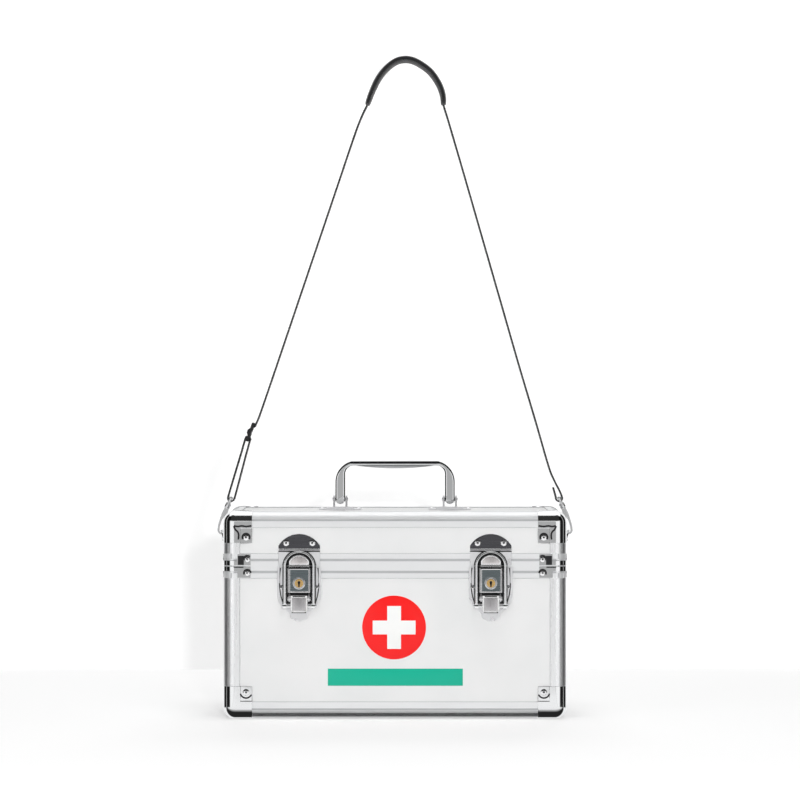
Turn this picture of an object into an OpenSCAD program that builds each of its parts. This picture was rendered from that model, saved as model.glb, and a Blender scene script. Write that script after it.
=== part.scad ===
// Medicine storage box: an aluminium-edged case with a hinged lid, two over-centre
// lock latches, a folding carry handle, a lift-out tray and a clip-on shoulder strap.
// Millimetres. The origin is at the middle of the base, +Z up, the front faces -Y.

/* [Case] */
// Width of the case across its corner extrusions
case_w = 360; // [320:1:440]
// Depth of the case across its corner extrusions
case_d = 220; // [190:1:280]
// Height of the plane where the lid meets the body
parting_z = 160.6; // [140:0.1:220]
// Height of the lid above that plane
lid_h = 57.4; // [54:0.1:80]
// Thickness of the wall panels
panel_t = 4; // [3:0.1:5]

/* [Extrusions] */
// Outer radius of the edge extrusions
edge_r = 12; // [10:0.5:13]
// Visible width of an edge extrusion on each face
rail_w = 17; // [15:0.5:20]
// Wall of an extrusion over the outside of a panel
skin_t = 1; // [0.8:0.1:1.4]
// Wall of an extrusion behind a panel
back_skin_t = 1.2; // [0.8:0.1:1.6]
// How far the back wall of an edge extrusion reaches over a panel
back_skin_w = 8; // [5:0.5:9]
// Height of the rim extrusion on each side of the parting plane
rim_h = 12.9; // [12:0.1:15]
// Depth that a panel sits in the slot of a rim
rim_slot = 4; // [3:0.1:4.5]
// Depth of the sealing groove in the body rim
groove_h = 3; // [2.6:0.1:3.5]
// Height of the tongue under the lid rim
tongue_h = 2.2; // [1.5:0.1:2.4]
// Thickness of the tongue
tongue_t = 1.8; // [1.4:0.1:2.2]
// Wall of the body rim outside the sealing groove
groove_wall = 2.2; // [1.6:0.1:2.4]
// Gap between the tongue and the outer wall of its groove
tongue_gap = 0.3; // [0.2:0.05:0.4]
// Gap between the tongue and the inner wall of its groove
tongue_swing_gap = 0.6; // [0.5:0.05:0.7]
// Depth of the decorative channel along a rim
channel_deep = 0.5; // [0.3:0.05:0.7]
// Width of the decorative channel along a rim
channel_w = 2.6; // [2:0.1:3]
// Distance of that channel from the parting plane
channel_off = 5; // [4:0.1:5.5]

/* [Corner pieces] */
// Thickness of the pressed steel corner pieces
cap_t = 0.8; // [0.6:0.05:1]
// Reach of a corner cap along the horizontal edges
cap_len = 30; // [27:0.5:36]
// Reach of a corner cap along the upright edge
cap_len_up = 33.6; // [30:0.1:38]
// Distance of a cap rivet from the two free edges of its ear
cap_rivet_in = 6.3; // [5.5:0.1:6.5]
// Distance from the case corner to the far end of a parting plate
plate_reach = 28.5; // [27:0.5:32]
// Length of the ear of a parting plate
plate_ear = 14; // [12:0.5:16]
// Distance of its rivet from the end of the ear
plate_rivet_in = 3.6; // [3.2:0.1:7]
// Height of the band of a parting plate round the corner
plate_band = 5.2; // [4:0.1:7]
// Gap between the two parting plates of a corner
plate_gap = 1; // [0.6:0.1:2]

/* [Rivets] */
// Radius of a rivet head
rivet_head_r = 3.4; // [2.8:0.1:3.7]
// Height of a rivet head
rivet_head_h = 1; // [0.8:0.1:1.4]
// Radius of a rivet shank
rivet_r = 1.6; // [1.2:0.1:1.9]
// Radius of a rivet head on a parting plate
plate_head_r = 3.1; // [2.6:0.1:3.2]
// Radius of a small rivet head
small_head_r = 2.4; // [2.1:0.1:2.8]
// Radial clearance of a rivet shank in its hole
rivet_fit = 0.05; // [0.02:0.01:0.1]

/* [Latches] */
// Distance of each latch from the middle of the case
latch_x = 100.5; // [80:0.5:130]
// Half width of a catch plate
catch_half_w = 21.8; // [19:0.1:24]
// Height of the catch plate above the parting plane
catch_top = 33.6; // [32:0.1:36]
// Radius of the domed top of the catch plate
catch_dome_r = 25.5; // [24.2:0.1:30]
// Thickness of the catch plate
catch_t = 1.6; // [1.2:0.1:2]
// Radius of the D-shaped hook nose
nose_r = 12.8; // [12:0.1:13]
// Half width of the hook nose
nose_half_w = 11.4; // [10:0.1:12]
// How far the front lip of the nose stands over the wire
lip_over = 0.2; // [0.1:0.05:0.3]
// Thickness of that lip
lip_t = 1.5; // [1:0.1:1.8]
// Thickness of a latch base plate
base_t = 1.4; // [1:0.1:1.8]
// Half width of a latch base plate
base_half_w = 22.8; // [22:0.1:26]
// Clearance of the base plate under the parting
base_top_down = 1.1; // [0.8:0.1:1.6]
// Where the base plate's straight sides end, below the parting
base_side_down = 33.5; // [31:0.5:35]
// Half width at the bend of the base plate's lower edge
base_bend_x = 19; // [18:0.5:20]
// Drop of that bend
base_bend_down = 42.5; // [41:0.5:44]
// Half width at the toe of the base plate
base_toe_x = 12.5; // [11.5:0.5:14]
// Drop of the toe
base_toe_down = 47.5; // [46:0.5:48.5]
// Half width of the lip under the lever
base_lip_half_w = 9.2; // [8.5:0.1:10]
// Drop at which the lip starts
base_lip_start = 50; // [49:0.5:51]
// Radius of the lip's rounded end
base_lip_r = 13.6; // [13:0.1:14.5]
// Drop of that round's centre
base_lip_centre = 44.2; // [43.5:0.1:45]
// Half width of the lock housing
house_half_w = 11.8; // [11:0.1:12.2]
// Depth of the lock housing from the rim face
house_d = 11.2; // [10.6:0.1:12.5]
// Radius of the lock cylinder
lock_r = 4.5; // [3.5:0.1:5.5]
// Running clearance of pins, pivots and the lock cylinder
run_fit = 0.05; // [0.02:0.01:0.1]
// Radius of the bail wire
wire_r = 1.6; // [1.4:0.1:1.7]
// Radius of the arch of the bail, at the middle of the wire
arch_r = 15; // [14.8:0.1:16]
// Distance of the lever pivot below the parting plane
pivot_down = 34.1; // [33.5:0.1:36]
// Distance of the lever pivot from the rim face
pivot_out = 7.2; // [7:0.1:7.6]
// Distance of the bail pin below the lever pivot
bail_down = 7.9; // [7.5:0.1:8.5]
// How far the bail pin lies behind the lever pivot
bail_behind = 0.4; // [0.3:0.1:0.6]
// Distance of the hooked wire from the rim face
wire_out = 5; // [4.8:0.1:5.3]
// Radius of the bail pin
bail_pin_r = 1.6; // [1.4:0.05:1.7]
// Radius of the lever pivot pin
lever_pin_r = 1.5; // [1.3:0.05:1.6]
// Half width of the lever
lever_half_w = 8.9; // [8:0.1:9.2]
// Thickness of the lever sheet
lever_t = 1.2; // [1:0.1:1.4]
// Length of the lever below its pivot
lever_len = 14.8; // [13:0.1:18]

/* [Handle] */
// Distance between the two legs of the handle
leg_gap = 117.6; // [100:0.1:140]
// Thickness of a handle leg, side to side
leg_t = 10.4; // [9:0.1:11]
// Width of the handle, front to back
handle_w = 14; // [12:0.5:18]
// Height of the handle above its pivots
handle_h = 41.3; // [38:0.1:55]
// Outer radius of the handle bends
bend_r = 22.8; // [20:0.1:26]
// Thickness of the handle bar
bar_t = 5.4; // [5:0.1:7]
// Depth of the grip insert under the middle of the bar
grip_swell = 2.8; // [2:0.1:4]
// Height of the handle pivots above the lid's edge extrusions
handle_pivot_up = 10.4; // [9.6:0.1:13]
// Length of a handle bracket
bracket_len = 45.6; // [42:0.1:50]
// Width of a handle bracket
bracket_w = 20; // [18:0.5:24]
// Thickness of a handle bracket
bracket_t = 1.6; // [1.2:0.1:2]
// Radius of the handle pivot pins
handle_pin_r = 2; // [1.6:0.1:2.4]

/* [Hinges] */
// Distance of each hinge from the middle of the case
hinge_x = 100; // [70:1:130]
// Length of a hinge
hinge_len = 42; // [36:1:60]
// Radius of a hinge knuckle
knuckle_r = 3.5; // [3:0.1:4]
// Radius of a hinge pin
hinge_pin_r = 1.6; // [1.2:0.1:1.8]
// Thickness of a hinge leaf
leaf_t = 1.4; // [1:0.1:1.8]
// Height of a hinge leaf from the pin's axis
leaf_h = 12.4; // [11.5:0.1:12.6]
// Gap of a knuckle to the case and to the next knuckle
knuckle_gap = 0.4; // [0.3:0.05:0.6]

/* [Strap fittings] */
// Radius of the wire of a strap ring
ring_wire_r = 1.3; // [1:0.1:1.4]
// Distance between the limbs of a strap ring
ring_w = 18; // [16:0.5:22]
// Height of a strap ring over its bar
ring_h = 10.6; // [10.2:0.1:12]
// Distance of the ring's bar below the top of the lid
ring_down = 33.5; // [32:0.1:36]
// Distance of the ring's bar from the side of the case
ring_out = 2.7; // [2.5:0.1:3.2]
// Length of the bridge over a strap ring's bar
ring_bridge_w = 11; // [9:0.5:12]
// Height of the plate that carries a strap ring
ring_plate_h = 12; // [11:0.5:14]
// Reach of that plate beyond the ring, at each side
ring_plate_side = 9.5; // [9:0.5:11]
// Lean of a strap ring, away from the case
ring_lean = 18; // [16:0.5:20]
// Thickness of a snap hook
hook_t = 5; // [4:0.1:6]
// Radius of the gate pin of a snap hook
gate_pin_r = 0.8; // [0.6:0.05:1]
// Thickness of the gate of a snap hook
gate_t = 2.6; // [2:0.1:3]
// Width of the strap webbing
web_w = 25; // [20:0.5:30]
// Thickness of the strap webbing
web_t = 1.6; // [1.2:0.1:1.7]
// Radius of the bar that the webbing goes round
eye_bar_r = 2; // [1.6:0.1:2]
// Length of the shoulder pad's section across the strap
pad_w = 46; // [38:1:60]
// Thickness of the shoulder pad
pad_t = 7; // [6:0.1:9]

/* [Inside] */
// Thickness of the foam liners
liner_t = 3; // [2:0.1:4]
// Height of the tray
tray_h = 40; // [30:1:50]
// Wall of the tray
tray_wall = 2; // [1.5:0.1:3]
// Gap between the tray and the liner
tray_gap = 2.5; // [1.5:0.1:4]
// Distance of the tray's top below the parting plane
tray_down = 6; // [4:0.5:12]
// Width of the foam ledges that carry the tray
ledge_w = 10; // [8:0.5:15]

/* [Hidden] */
$fn = 48;
eps = 0.01;

aluminium = [0.82, 0.83, 0.84];
laminate = [0.92, 0.92, 0.93];
steel = [0.72, 0.73, 0.75];
dark_steel = [0.42, 0.43, 0.45];
brass = [0.83, 0.66, 0.32];
foam = [0.2, 0.2, 0.22];
white_plastic = [0.93, 0.94, 0.95];
black_web = [0.08, 0.08, 0.09];

base_z = max(cap_t, rivet_head_h + cap_t - skin_t);
lid_top = parting_z + lid_h;
half_w = case_w / 2;
half_d = case_d / 2;
slot_end = skin_t + panel_t;
frame_t = slot_end + back_skin_t;
joint_r = edge_r - 0.06;
base_down = base_lip_centre + base_lip_r + 0.5;
notch = rail_w - edge_r;
groove_w = tongue_gap + tongue_t + tongue_swing_gap;
inner_r = frame_t + 0.1;
cap_rivet = cap_len - cap_rivet_in;
cap_rivet_up = cap_len_up - cap_rivet_in;
plate_rivet = plate_reach - plate_rivet_in;
hole_r = rivet_r + rivet_fit;
rim_rivet_z = rim_h - rim_slot - hole_r - 0.05;
leg_shift = leg_gap / 2;
handle_pivot_z = lid_top + handle_pivot_up;
hinge_y = half_d + knuckle_r + knuckle_gap;

// Flat shapes and ways to place them

// A rounded rectangle about the origin, with true arcs
module rounded_rect(w, d, r) {
  square([w - 2 * r, d], center = true);
  square([w, d - 2 * r], center = true);
  for (sx = [-1, 1]) for (sy = [-1, 1])
    translate([sx * (w / 2 - r), sy * (d / 2 - r)]) circle(r);
}

// The footprint of a full band of the rim, from a distance inside its outer face
module rim_ring(outer) {
  difference() {
    rounded_rect(case_w - 2 * outer, case_d - 2 * outer, edge_r - outer);
    square([case_w - 2 * frame_t, case_d - 2 * frame_t], center = true);
  }
}

// The solid corners of the rim
module rim_corners() {
  difference() {
    rim_ring(0);
    square([case_w - 2 * edge_r, case_d + 2], center = true);
    square([case_w + 2, case_d - 2 * edge_r], center = true);
  }
}

// Straight walls of the rim between its corners, between two distances from the outside
module rim_walls(outer, inner) {
  for (m = [0, 1]) mirror([0, m]) translate([-half_w + edge_r, -half_d + outer])
    square([case_w - 2 * edge_r, inner - outer]);
  for (m = [0, 1]) mirror([m, 0]) translate([-half_w + outer, -half_d + edge_r])
    square([inner - outer, case_d - 2 * edge_r]);
}

// Stands a flat XZ drawing up, from out0 to out1 in front of the face y = 0
module face_plate(out0, out1) {
  translate([0, -out0, 0]) rotate([90, 0, 0]) linear_extrude(out1 - out0) children();
}

// Stands a flat drawing in the plane of X and Z, centred on y = 0
module upright(t) {
  translate([0, t / 2, 0]) rotate([90, 0, 0]) linear_extrude(t) children();
}

// Lays a drawing of (outward, up) along X, from x0 to x1, with outward towards -Y
module along_x(x0, x1) {
  translate([x0, 0, 0]) rotate([90, 0, 90]) linear_extrude(x1 - x0) mirror([1, 0]) children();
}

module rod_x(r, x0, x1) {
  translate([x0, 0, 0]) rotate([0, 90, 0]) cylinder(r = r, h = x1 - x0);
}

module rod_y(r, y0, y1) {
  translate([0, y1, 0]) rotate([90, 0, 0]) cylinder(r = r, h = y1 - y0);
}

// The same piece at all four upright corners
module four_corners() {
  for (sx = [0, 1]) for (sy = [0, 1])
    mirror([sx, 0, 0]) mirror([0, sy, 0]) translate([-half_w, -half_d, 0]) children();
}

module both_latches() {
  for (s = [-1, 1]) at_latch(s) children();
}

module at_latch(s) {
  translate([s * latch_x, -half_d, parting_z]) children();
}

// Places a drawing of one side's strap fittings: +X outward, z = 0 at the lid's top
module at_side(s) {
  mirror([s < 0 ? 1 : 0, 0, 0]) translate([half_w, 0, lid_top]) children();
}

// Extrusions

// The section of an edge extrusion: a rounded corner chamber with a slot for each panel
module edge_section() {
  intersection() {
    square(edge_r);
    translate([edge_r, edge_r]) difference() {
      circle(edge_r);
      circle(edge_r - skin_t);
    }
  }
  for (m = [0, 1]) mirror([m, -m]) {
    translate([edge_r, 0]) square([notch, skin_t]);
    translate([slot_end, slot_end]) square([back_skin_w, back_skin_t]);
    translate([edge_r - back_skin_t, skin_t / 2]) square([back_skin_t, slot_end - skin_t / 2]);
  }
}

// The four horizontal edge extrusions of the base, the lowest face at z = 0
module edge_rails() {
  for (m = [0, 1]) mirror([0, m, 0]) translate([-half_w + rail_w, -half_d, 0])
    rotate([90, 0, 90]) linear_extrude(case_w - 2 * rail_w) edge_section();
  for (m = [0, 1]) mirror([m, 0, 0]) translate([-half_w, half_d - rail_w, 0])
    rotate([90, 0, 0]) linear_extrude(case_d - 2 * rail_w) edge_section();
}

module corner_posts(z0, z1) {
  four_corners() translate([0, 0, z0]) linear_extrude(z1 - z0) edge_section();
}

// Cuts one mitred side out of a ring, with a hairline between the sides
module mitre(side) {
  reach = edge_r + 20;
  hair = 0.03;
  long = side % 2 == 0 ? half_w : half_d;
  near = side % 2 == 0 ? half_d : half_w;
  intersection() {
    children();
    rotate(side * 90) polygon([
      [-long + hair, -near], [long - hair, -near],
      [long - reach - hair, -near + reach], [-long + reach + hair, -near + reach]
    ]);
  }
}

// One mitred length of rim, measured away from the parting plane at z = 0
module rim_length(side, tongue) {
  module band(z0, z1) translate([0, 0, z0]) linear_extrude(z1 - z0) mitre(side) children();
  slot_z = rim_h - rim_slot;
  if (tongue) {
    band(-tongue_h, eps) rim_walls(groove_wall + tongue_gap, groove_wall + tongue_gap + tongue_t);
    band(0, channel_off) rim_ring(0);
  } else {
    band(0, groove_h + eps) rim_corners();
    band(0, groove_h + eps) rim_walls(0, groove_wall);
    band(0, groove_h + eps) rim_walls(groove_wall + groove_w, frame_t);
    band(groove_h, channel_off) rim_ring(0);
  }
  band(channel_off, channel_off + channel_w) rim_ring(channel_deep);
  band(channel_off + channel_w, slot_z) rim_ring(0);
  band(slot_z, rim_h) rim_corners();
  band(slot_z, rim_h) rim_walls(0, skin_t);
  band(slot_z, rim_h) rim_walls(slot_end, frame_t);
}

// Panels

// A wall panel's outline: its slot end at z = 0, its notched end at z = h
module wall_outline(w, h) {
  translate([-w / 2, 0]) square([w, h - notch]);
  translate([-w / 2 + notch, 0]) square([w - 2 * notch, h]);
}

// A wall panel of the front, standing from its rim slot at z = 0
module wall_panel(w, h) {
  face_plate(-slot_end, -skin_t) wall_outline(w - 2 * edge_r, h);
}

// A floor or top panel with its four corners notched, its outer face at z = 0
module flat_panel() {
  w = case_w - 2 * edge_r;
  d = case_d - 2 * edge_r;
  linear_extrude(panel_t) {
    square([w - 2 * notch, d], center = true);
    square([w, d - 2 * notch], center = true);
  }
}

// Rivets

// A blind rivet: its head stands on z = 0 and its shank goes down
module rivet(head, len) {
  dome = (head * head + rivet_head_h * rivet_head_h) / (2 * rivet_head_h);
  rotate_extrude() difference() {
    union() {
      translate([0, -len]) square([rivet_r, len + eps]);
      intersection() {
        translate([0, rivet_head_h - dome]) circle(dome, $fn = 96);
        square([head, rivet_head_h]);
      }
    }
    translate([0, rivet_head_h - 0.8]) square([0.8, 1]);
  }
}

// A rivet on the front face: the head points to -Y from the face at `out`
module front_rivet(x, z, out, len, head) {
  translate([x, -out, z]) rotate([90, 0, 0]) rivet(head, len);
}

module front_hole(x, z) {
  translate([x, 0, z]) rod_y(hole_r, -30, 30);
}

// The places of the latch rivets, from the middle of a latch
base_rivets = [[-18.8, -22.1], [18.8, -22.1]];
catch_rivets = [[-13.7, 24.4], [13.7, 24.4]];
leaf_rivets = [[-hinge_len / 2 + 9, rim_rivet_z], [hinge_len / 2 - 9, rim_rivet_z]];

// The three cap rivets or holes of one corner, the corner at the origin, up as given
module cap_rivet_places() {
  translate([cap_rivet, skin_t - cap_t, cap_rivet_up]) rotate([90, 0, 0]) children();
  translate([skin_t - cap_t, cap_rivet, cap_rivet_up]) rotate([0, -90, 0]) children();
  translate([cap_rivet, cap_rivet, skin_t - cap_t]) rotate([180, 0, 0]) children();
}

module plate_rivet_places() {
  translate([plate_rivet, -cap_t, rim_rivet_z]) rotate([90, 0, 0]) children();
  translate([-cap_t, plate_rivet, rim_rivet_z]) rotate([0, -90, 0]) children();
}

module shank_hole() {
  translate([0, 0, -12]) cylinder(r = hole_r, h = 14);
}

// Body and lid as mirrored halves: a half stands with its outer face at z = 0

module body_up() {
  translate([0, 0, base_z]) children();
}

module lid_down() {
  translate([0, 0, lid_top]) mirror([0, 0, 1]) children();
}

module corner_holes() {
  four_corners() cap_rivet_places() shank_hole();
}

// Corner pieces

module cap_section() {
  intersection() {
    translate([edge_r, edge_r]) difference() {
      circle(edge_r + cap_t);
      circle(edge_r);
    }
    translate([-cap_t, -cap_t]) square(edge_r + cap_t);
  }
  for (m = [0, 1]) mirror([m, -m]) translate([edge_r, -cap_t]) square([notch + cap_t, cap_t]);
}

// One face's ear with its joggle, drawn with the face in the XY plane and outward = -Z
module cap_ear(reach_x, reach_y) {
  translate([rail_w, rail_w, skin_t - cap_t]) cube([reach_x - rail_w, reach_y - rail_w, cap_t]);
  translate([rail_w, rail_w, -cap_t]) cube([reach_x - rail_w, cap_t, cap_t + skin_t]);
  translate([rail_w, rail_w, -cap_t]) cube([cap_t, reach_y - rail_w, cap_t + skin_t]);
}

// A ball corner cap over three faces, with the case corner at the origin
module corner_cap() {
  difference() {
    union() {
      translate([edge_r, edge_r, edge_r]) intersection() {
        difference() {
          sphere(edge_r + cap_t);
          sphere(edge_r);
        }
        translate([-edge_r - cap_t, -edge_r - cap_t, -edge_r - cap_t]) cube(edge_r + cap_t);
      }
      translate([0, 0, edge_r]) linear_extrude(cap_len_up - edge_r) cap_section();
      translate([edge_r, 0, 0]) rotate([90, 0, 90]) linear_extrude(cap_len - edge_r) cap_section();
      translate([0, edge_r, 0]) mirror([0, 1, 0]) rotate([90, 0, 0])
        linear_extrude(cap_len - edge_r) cap_section();
      cap_ear(cap_len, cap_len);
      rotate([90, 0, 0]) mirror([0, 0, 1]) cap_ear(cap_len, cap_len_up);
      rotate([0, 0, 90]) rotate([90, 0, 0]) cap_ear(cap_len, cap_len_up);
    }
    cap_rivet_places() shank_hole();
  }
}

// The plastic three-way block inside a corner
module corner_joint() {
  difference() {
    union() {
      translate([edge_r, edge_r, edge_r]) sphere(joint_r);
      translate([edge_r, edge_r, edge_r]) cylinder(r = joint_r, h = notch);
      translate([edge_r, edge_r, edge_r]) rotate([-90, 0, 0]) cylinder(r = joint_r, h = notch);
      translate([edge_r, edge_r, edge_r]) rotate([0, 90, 0]) cylinder(r = joint_r, h = notch);
      translate([edge_r, edge_r, 0]) cube([notch, notch, rail_w]);
      translate([edge_r, 0, edge_r]) cube([notch, rail_w, notch]);
      translate([0, edge_r, edge_r]) cube([rail_w, notch, notch]);
    }
    translate([frame_t, frame_t, frame_t]) cube(2 * edge_r);
    translate([rail_w, 0, 0]) cube(2 * edge_r);
    translate([0, rail_w, 0]) cube(2 * edge_r);
    translate([0, 0, rail_w]) cube(2 * edge_r);
  }
}

// A plate that ties a mitred rim corner, its parting edge towards z = 0
module corner_plate() {
  ear_z = plate_gap / 2;
  difference() {
    union() {
      translate([0, 0, ear_z]) linear_extrude(plate_band) intersection() {
        difference() {
          translate([half_w, half_d])
            rounded_rect(case_w + 2 * cap_t, case_d + 2 * cap_t, edge_r + cap_t);
          translate([half_w, half_d]) rounded_rect(case_w, case_d, edge_r);
        }
        translate([-2, -2]) square(plate_reach - plate_ear + 4);
      }
      translate([plate_reach - plate_ear, 0, 0]) face_plate(0, cap_t)
        translate([0, ear_z]) square([plate_ear, rim_h - ear_z - 0.4]);
      translate([-cap_t, plate_reach - plate_ear, ear_z])
        cube([cap_t, plate_ear, rim_h - ear_z - 0.4]);
    }
    plate_rivet_places() shank_hole();
  }
}

module up_from_parting() {
  translate([0, 0, parting_z]) children();
}

module down_from_parting() {
  translate([0, 0, parting_z]) mirror([0, 0, 1]) children();
}

// Body

body_panel_h = parting_z - rim_h + rim_slot - base_z - edge_r;
lid_panel_h = lid_h - rim_h + rim_slot - edge_r;

module body_front_panel() {
  color(laminate) difference() {
    translate([0, -half_d, base_z + edge_r + body_panel_h]) mirror([0, 0, 1])
      wall_panel(case_w, body_panel_h);
    body_up() corner_holes();
    both_latches() for (p = base_rivets) front_hole(p[0], p[1]);
  }
}

module body_back_panel() {
  color(laminate) difference() {
    translate([0, half_d, base_z + edge_r + body_panel_h]) mirror([0, 0, 1]) mirror([0, 1, 0])
      wall_panel(case_w, body_panel_h);
    body_up() corner_holes();
  }
}

module body_side_panels() {
  color(laminate) difference() {
    for (m = [0, 1]) mirror([m, 0, 0]) translate([-half_w, 0, base_z + edge_r + body_panel_h])
      rotate(-90) mirror([0, 0, 1]) wall_panel(case_d, body_panel_h);
    body_up() corner_holes();
  }
}

module body_floor_panel() {
  color(laminate) body_up() difference() {
    translate([0, 0, skin_t]) flat_panel();
    corner_holes();
  }
}

module body_bottom_rails() {
  color(aluminium) body_up() edge_rails();
}

module body_corner_posts() {
  color(aluminium) corner_posts(base_z + rail_w, parting_z - rim_h);
}

// Rivet holes through the rim, on the parting plates and the hinges
module rim_holes() {
  four_corners() plate_rivet_places() shank_hole();
  for (s = [-1, 1]) translate([s * hinge_x, half_d, 0])
    for (p = leaf_rivets) front_hole(p[0], p[1]);
}

module body_rim() {
  color(aluminium) down_from_parting() difference() {
    for (side = [0:3]) rim_length(side, false);
    rim_holes();
  }
}

module bottom_corner_caps() {
  color(steel) body_up() four_corners() corner_cap();
}

module body_corner_plates() {
  color(steel) down_from_parting() four_corners() corner_plate();
}

module body_corner_joints() {
  color(foam) body_up() four_corners() corner_joint();
}

module body_rivets() {
  color(steel) {
    body_up() four_corners() cap_rivet_places() rivet(rivet_head_r, cap_t + panel_t);
    down_from_parting() four_corners() plate_rivet_places()
      rivet(plate_head_r, cap_t + frame_t);
    at_hinges() mirror([0, 0, 1]) leaf_rivet_row();
  }
}

// Foam sheets that line a tub from z0 up to z1, laid in edge to edge
module foam_tub(z0, z1) {
  w = case_w - 2 * inner_r;
  d = case_d - 2 * inner_r;
  seam = 0.1;
  translate([-w / 2, -d / 2, z0]) cube([w, d, liner_t]);
  for (m = [0, 1]) mirror([0, m, 0]) translate([-w / 2, -d / 2, z0 + liner_t + seam])
    cube([w, liner_t, z1 - z0 - liner_t - seam]);
  for (m = [0, 1]) mirror([m, 0, 0])
    translate([-w / 2, -d / 2 + liner_t + seam, z0 + liner_t + seam])
      cube([liner_t, d - 2 * (liner_t + seam), z1 - z0 - liner_t - seam]);
}

// The body's liner, with a ledge at each end that the tray stands on
module body_liner() {
  z0 = base_z + inner_r;
  ledge_x = half_w - inner_r - liner_t - 0.1;
  ledge_d = case_d - 2 * (inner_r + liner_t + 0.1);
  ledge_z = z0 + liner_t + 0.1;
  color(foam) {
    foam_tub(z0, parting_z - 1);
    for (m = [0, 1]) mirror([m, 0, 0]) translate([ledge_x - ledge_w, -ledge_d / 2, ledge_z])
      cube([ledge_w, ledge_d, parting_z - tray_down - tray_h - ledge_z]);
  }
}

// The lift-out tray: a thin box with two partitions, by which it is lifted
module medicine_tray() {
  w = case_w - 2 * (inner_r + liner_t + tray_gap);
  d = case_d - 2 * (inner_r + liner_t + tray_gap);
  z0 = parting_z - tray_down - tray_h;
  wall = tray_wall;
  cell = (w - 4 * wall) / 3;
  color(white_plastic) translate([-w / 2, -d / 2, z0]) difference() {
    cube([w, d, tray_h]);
    for (i = [0:2]) translate([wall + i * (cell + wall), wall, wall])
      cube([cell, d - 2 * wall, tray_h]);
  }
}

// Latches

// One base plate: pressed over the rim's step, with raised side ribs and pivot ears
module latch_base() {
  rim_end = -rim_h - 0.1;
  module outline() {
    for (m = [0, 1]) mirror([m, 0]) polygon([
      [-eps, -base_top_down], [base_half_w, -base_top_down], [base_half_w, -base_side_down],
      [base_bend_x, -base_bend_down], [base_toe_x, -base_toe_down],
      [base_lip_half_w, -base_lip_start], [-eps, -base_lip_start]
    ]);
    intersection() {
      translate([0, -base_lip_centre]) circle(base_lip_r);
      translate([-base_lip_half_w, -base_down]) square([2 * base_lip_half_w, base_down / 5]);
    }
  }
  ear_x = lever_half_w + 0.5;
  color(steel) difference() {
    union() {
      face_plate(0, base_t) outline();
      face_plate(-skin_t, eps) intersection() {
        outline();
        translate([-base_half_w, -base_down]) square([2 * base_half_w, base_down + rim_end]);
      }
      for (m = [0, 1]) mirror([m, 0, 0]) {
        translate([base_half_w - 2.4, 0, -18]) face_plate(base_t - eps, base_t + 2.2)
          square([2.4, 16.9]);
        along_x(ear_x, ear_x + 1.5) difference() {
          union() {
            translate([pivot_out, -pivot_down]) circle(3.4);
            polygon([
              [base_t - eps, -pivot_down + 5.4], [pivot_out, -pivot_down + 3.4],
              [pivot_out + 1, -pivot_down], [pivot_out, -pivot_down - 3.4],
              [base_t - eps, -pivot_down - 3.6]
            ]);
          }
          translate([pivot_out, -pivot_down]) circle(lever_pin_r + rivet_fit);
        }
      }
    }
    for (p = base_rivets) front_hole(p[0], p[1]);
  }
}

module latch_bases() {
  both_latches() latch_base();
}

lock_z = -17.7;

// The lock housing: a box with a framed face and a blind bore for the cylinder
module lock_housing() {
  z0 = -27.7;
  z1 = -1.3;
  frame = 1.3;
  color(dark_steel) difference() {
    face_plate(base_t, house_d) translate([-house_half_w, z0])
      square([2 * house_half_w, z1 - z0]);
    difference() {
      face_plate(house_d - 0.6, house_d + 1) translate([-house_half_w + frame, z0 + frame])
        square([2 * (house_half_w - frame), z1 - z0 - 2 * frame]);
      translate([0, 0, lock_z]) rod_y(lock_r + run_fit + 1, -house_d - 2, 0);
    }
    translate([0, 0, lock_z]) rod_y(lock_r + run_fit, -house_d - 2, -base_t - 2);
  }
}

module lock_housings() {
  both_latches() lock_housing();
}

// The lock cylinder, with its upright keyway
module lock_cylinder(s) {
  front = house_d + 0.6;
  color(brass) at_latch(s) translate([0, 0, lock_z]) difference() {
    rod_y(lock_r, -front, -base_t - 2.2);
    translate([-0.6, -front - 1, -3.2]) cube([1.2, 5, 3.2]);
    rod_y(1.2, -front - 1, -front + 4);
  }
}

module lever_pins() {
  ear_end = lever_half_w + 2;
  color(steel) both_latches() translate([0, -pivot_out, -pivot_down]) {
    rod_x(lever_pin_r, -ear_end - 0.1, ear_end + 0.1);
    for (m = [0, 1]) mirror([m, 0, 0]) rod_x(2.3, ear_end + 0.1, ear_end + 1.1);
  }
}

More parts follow.
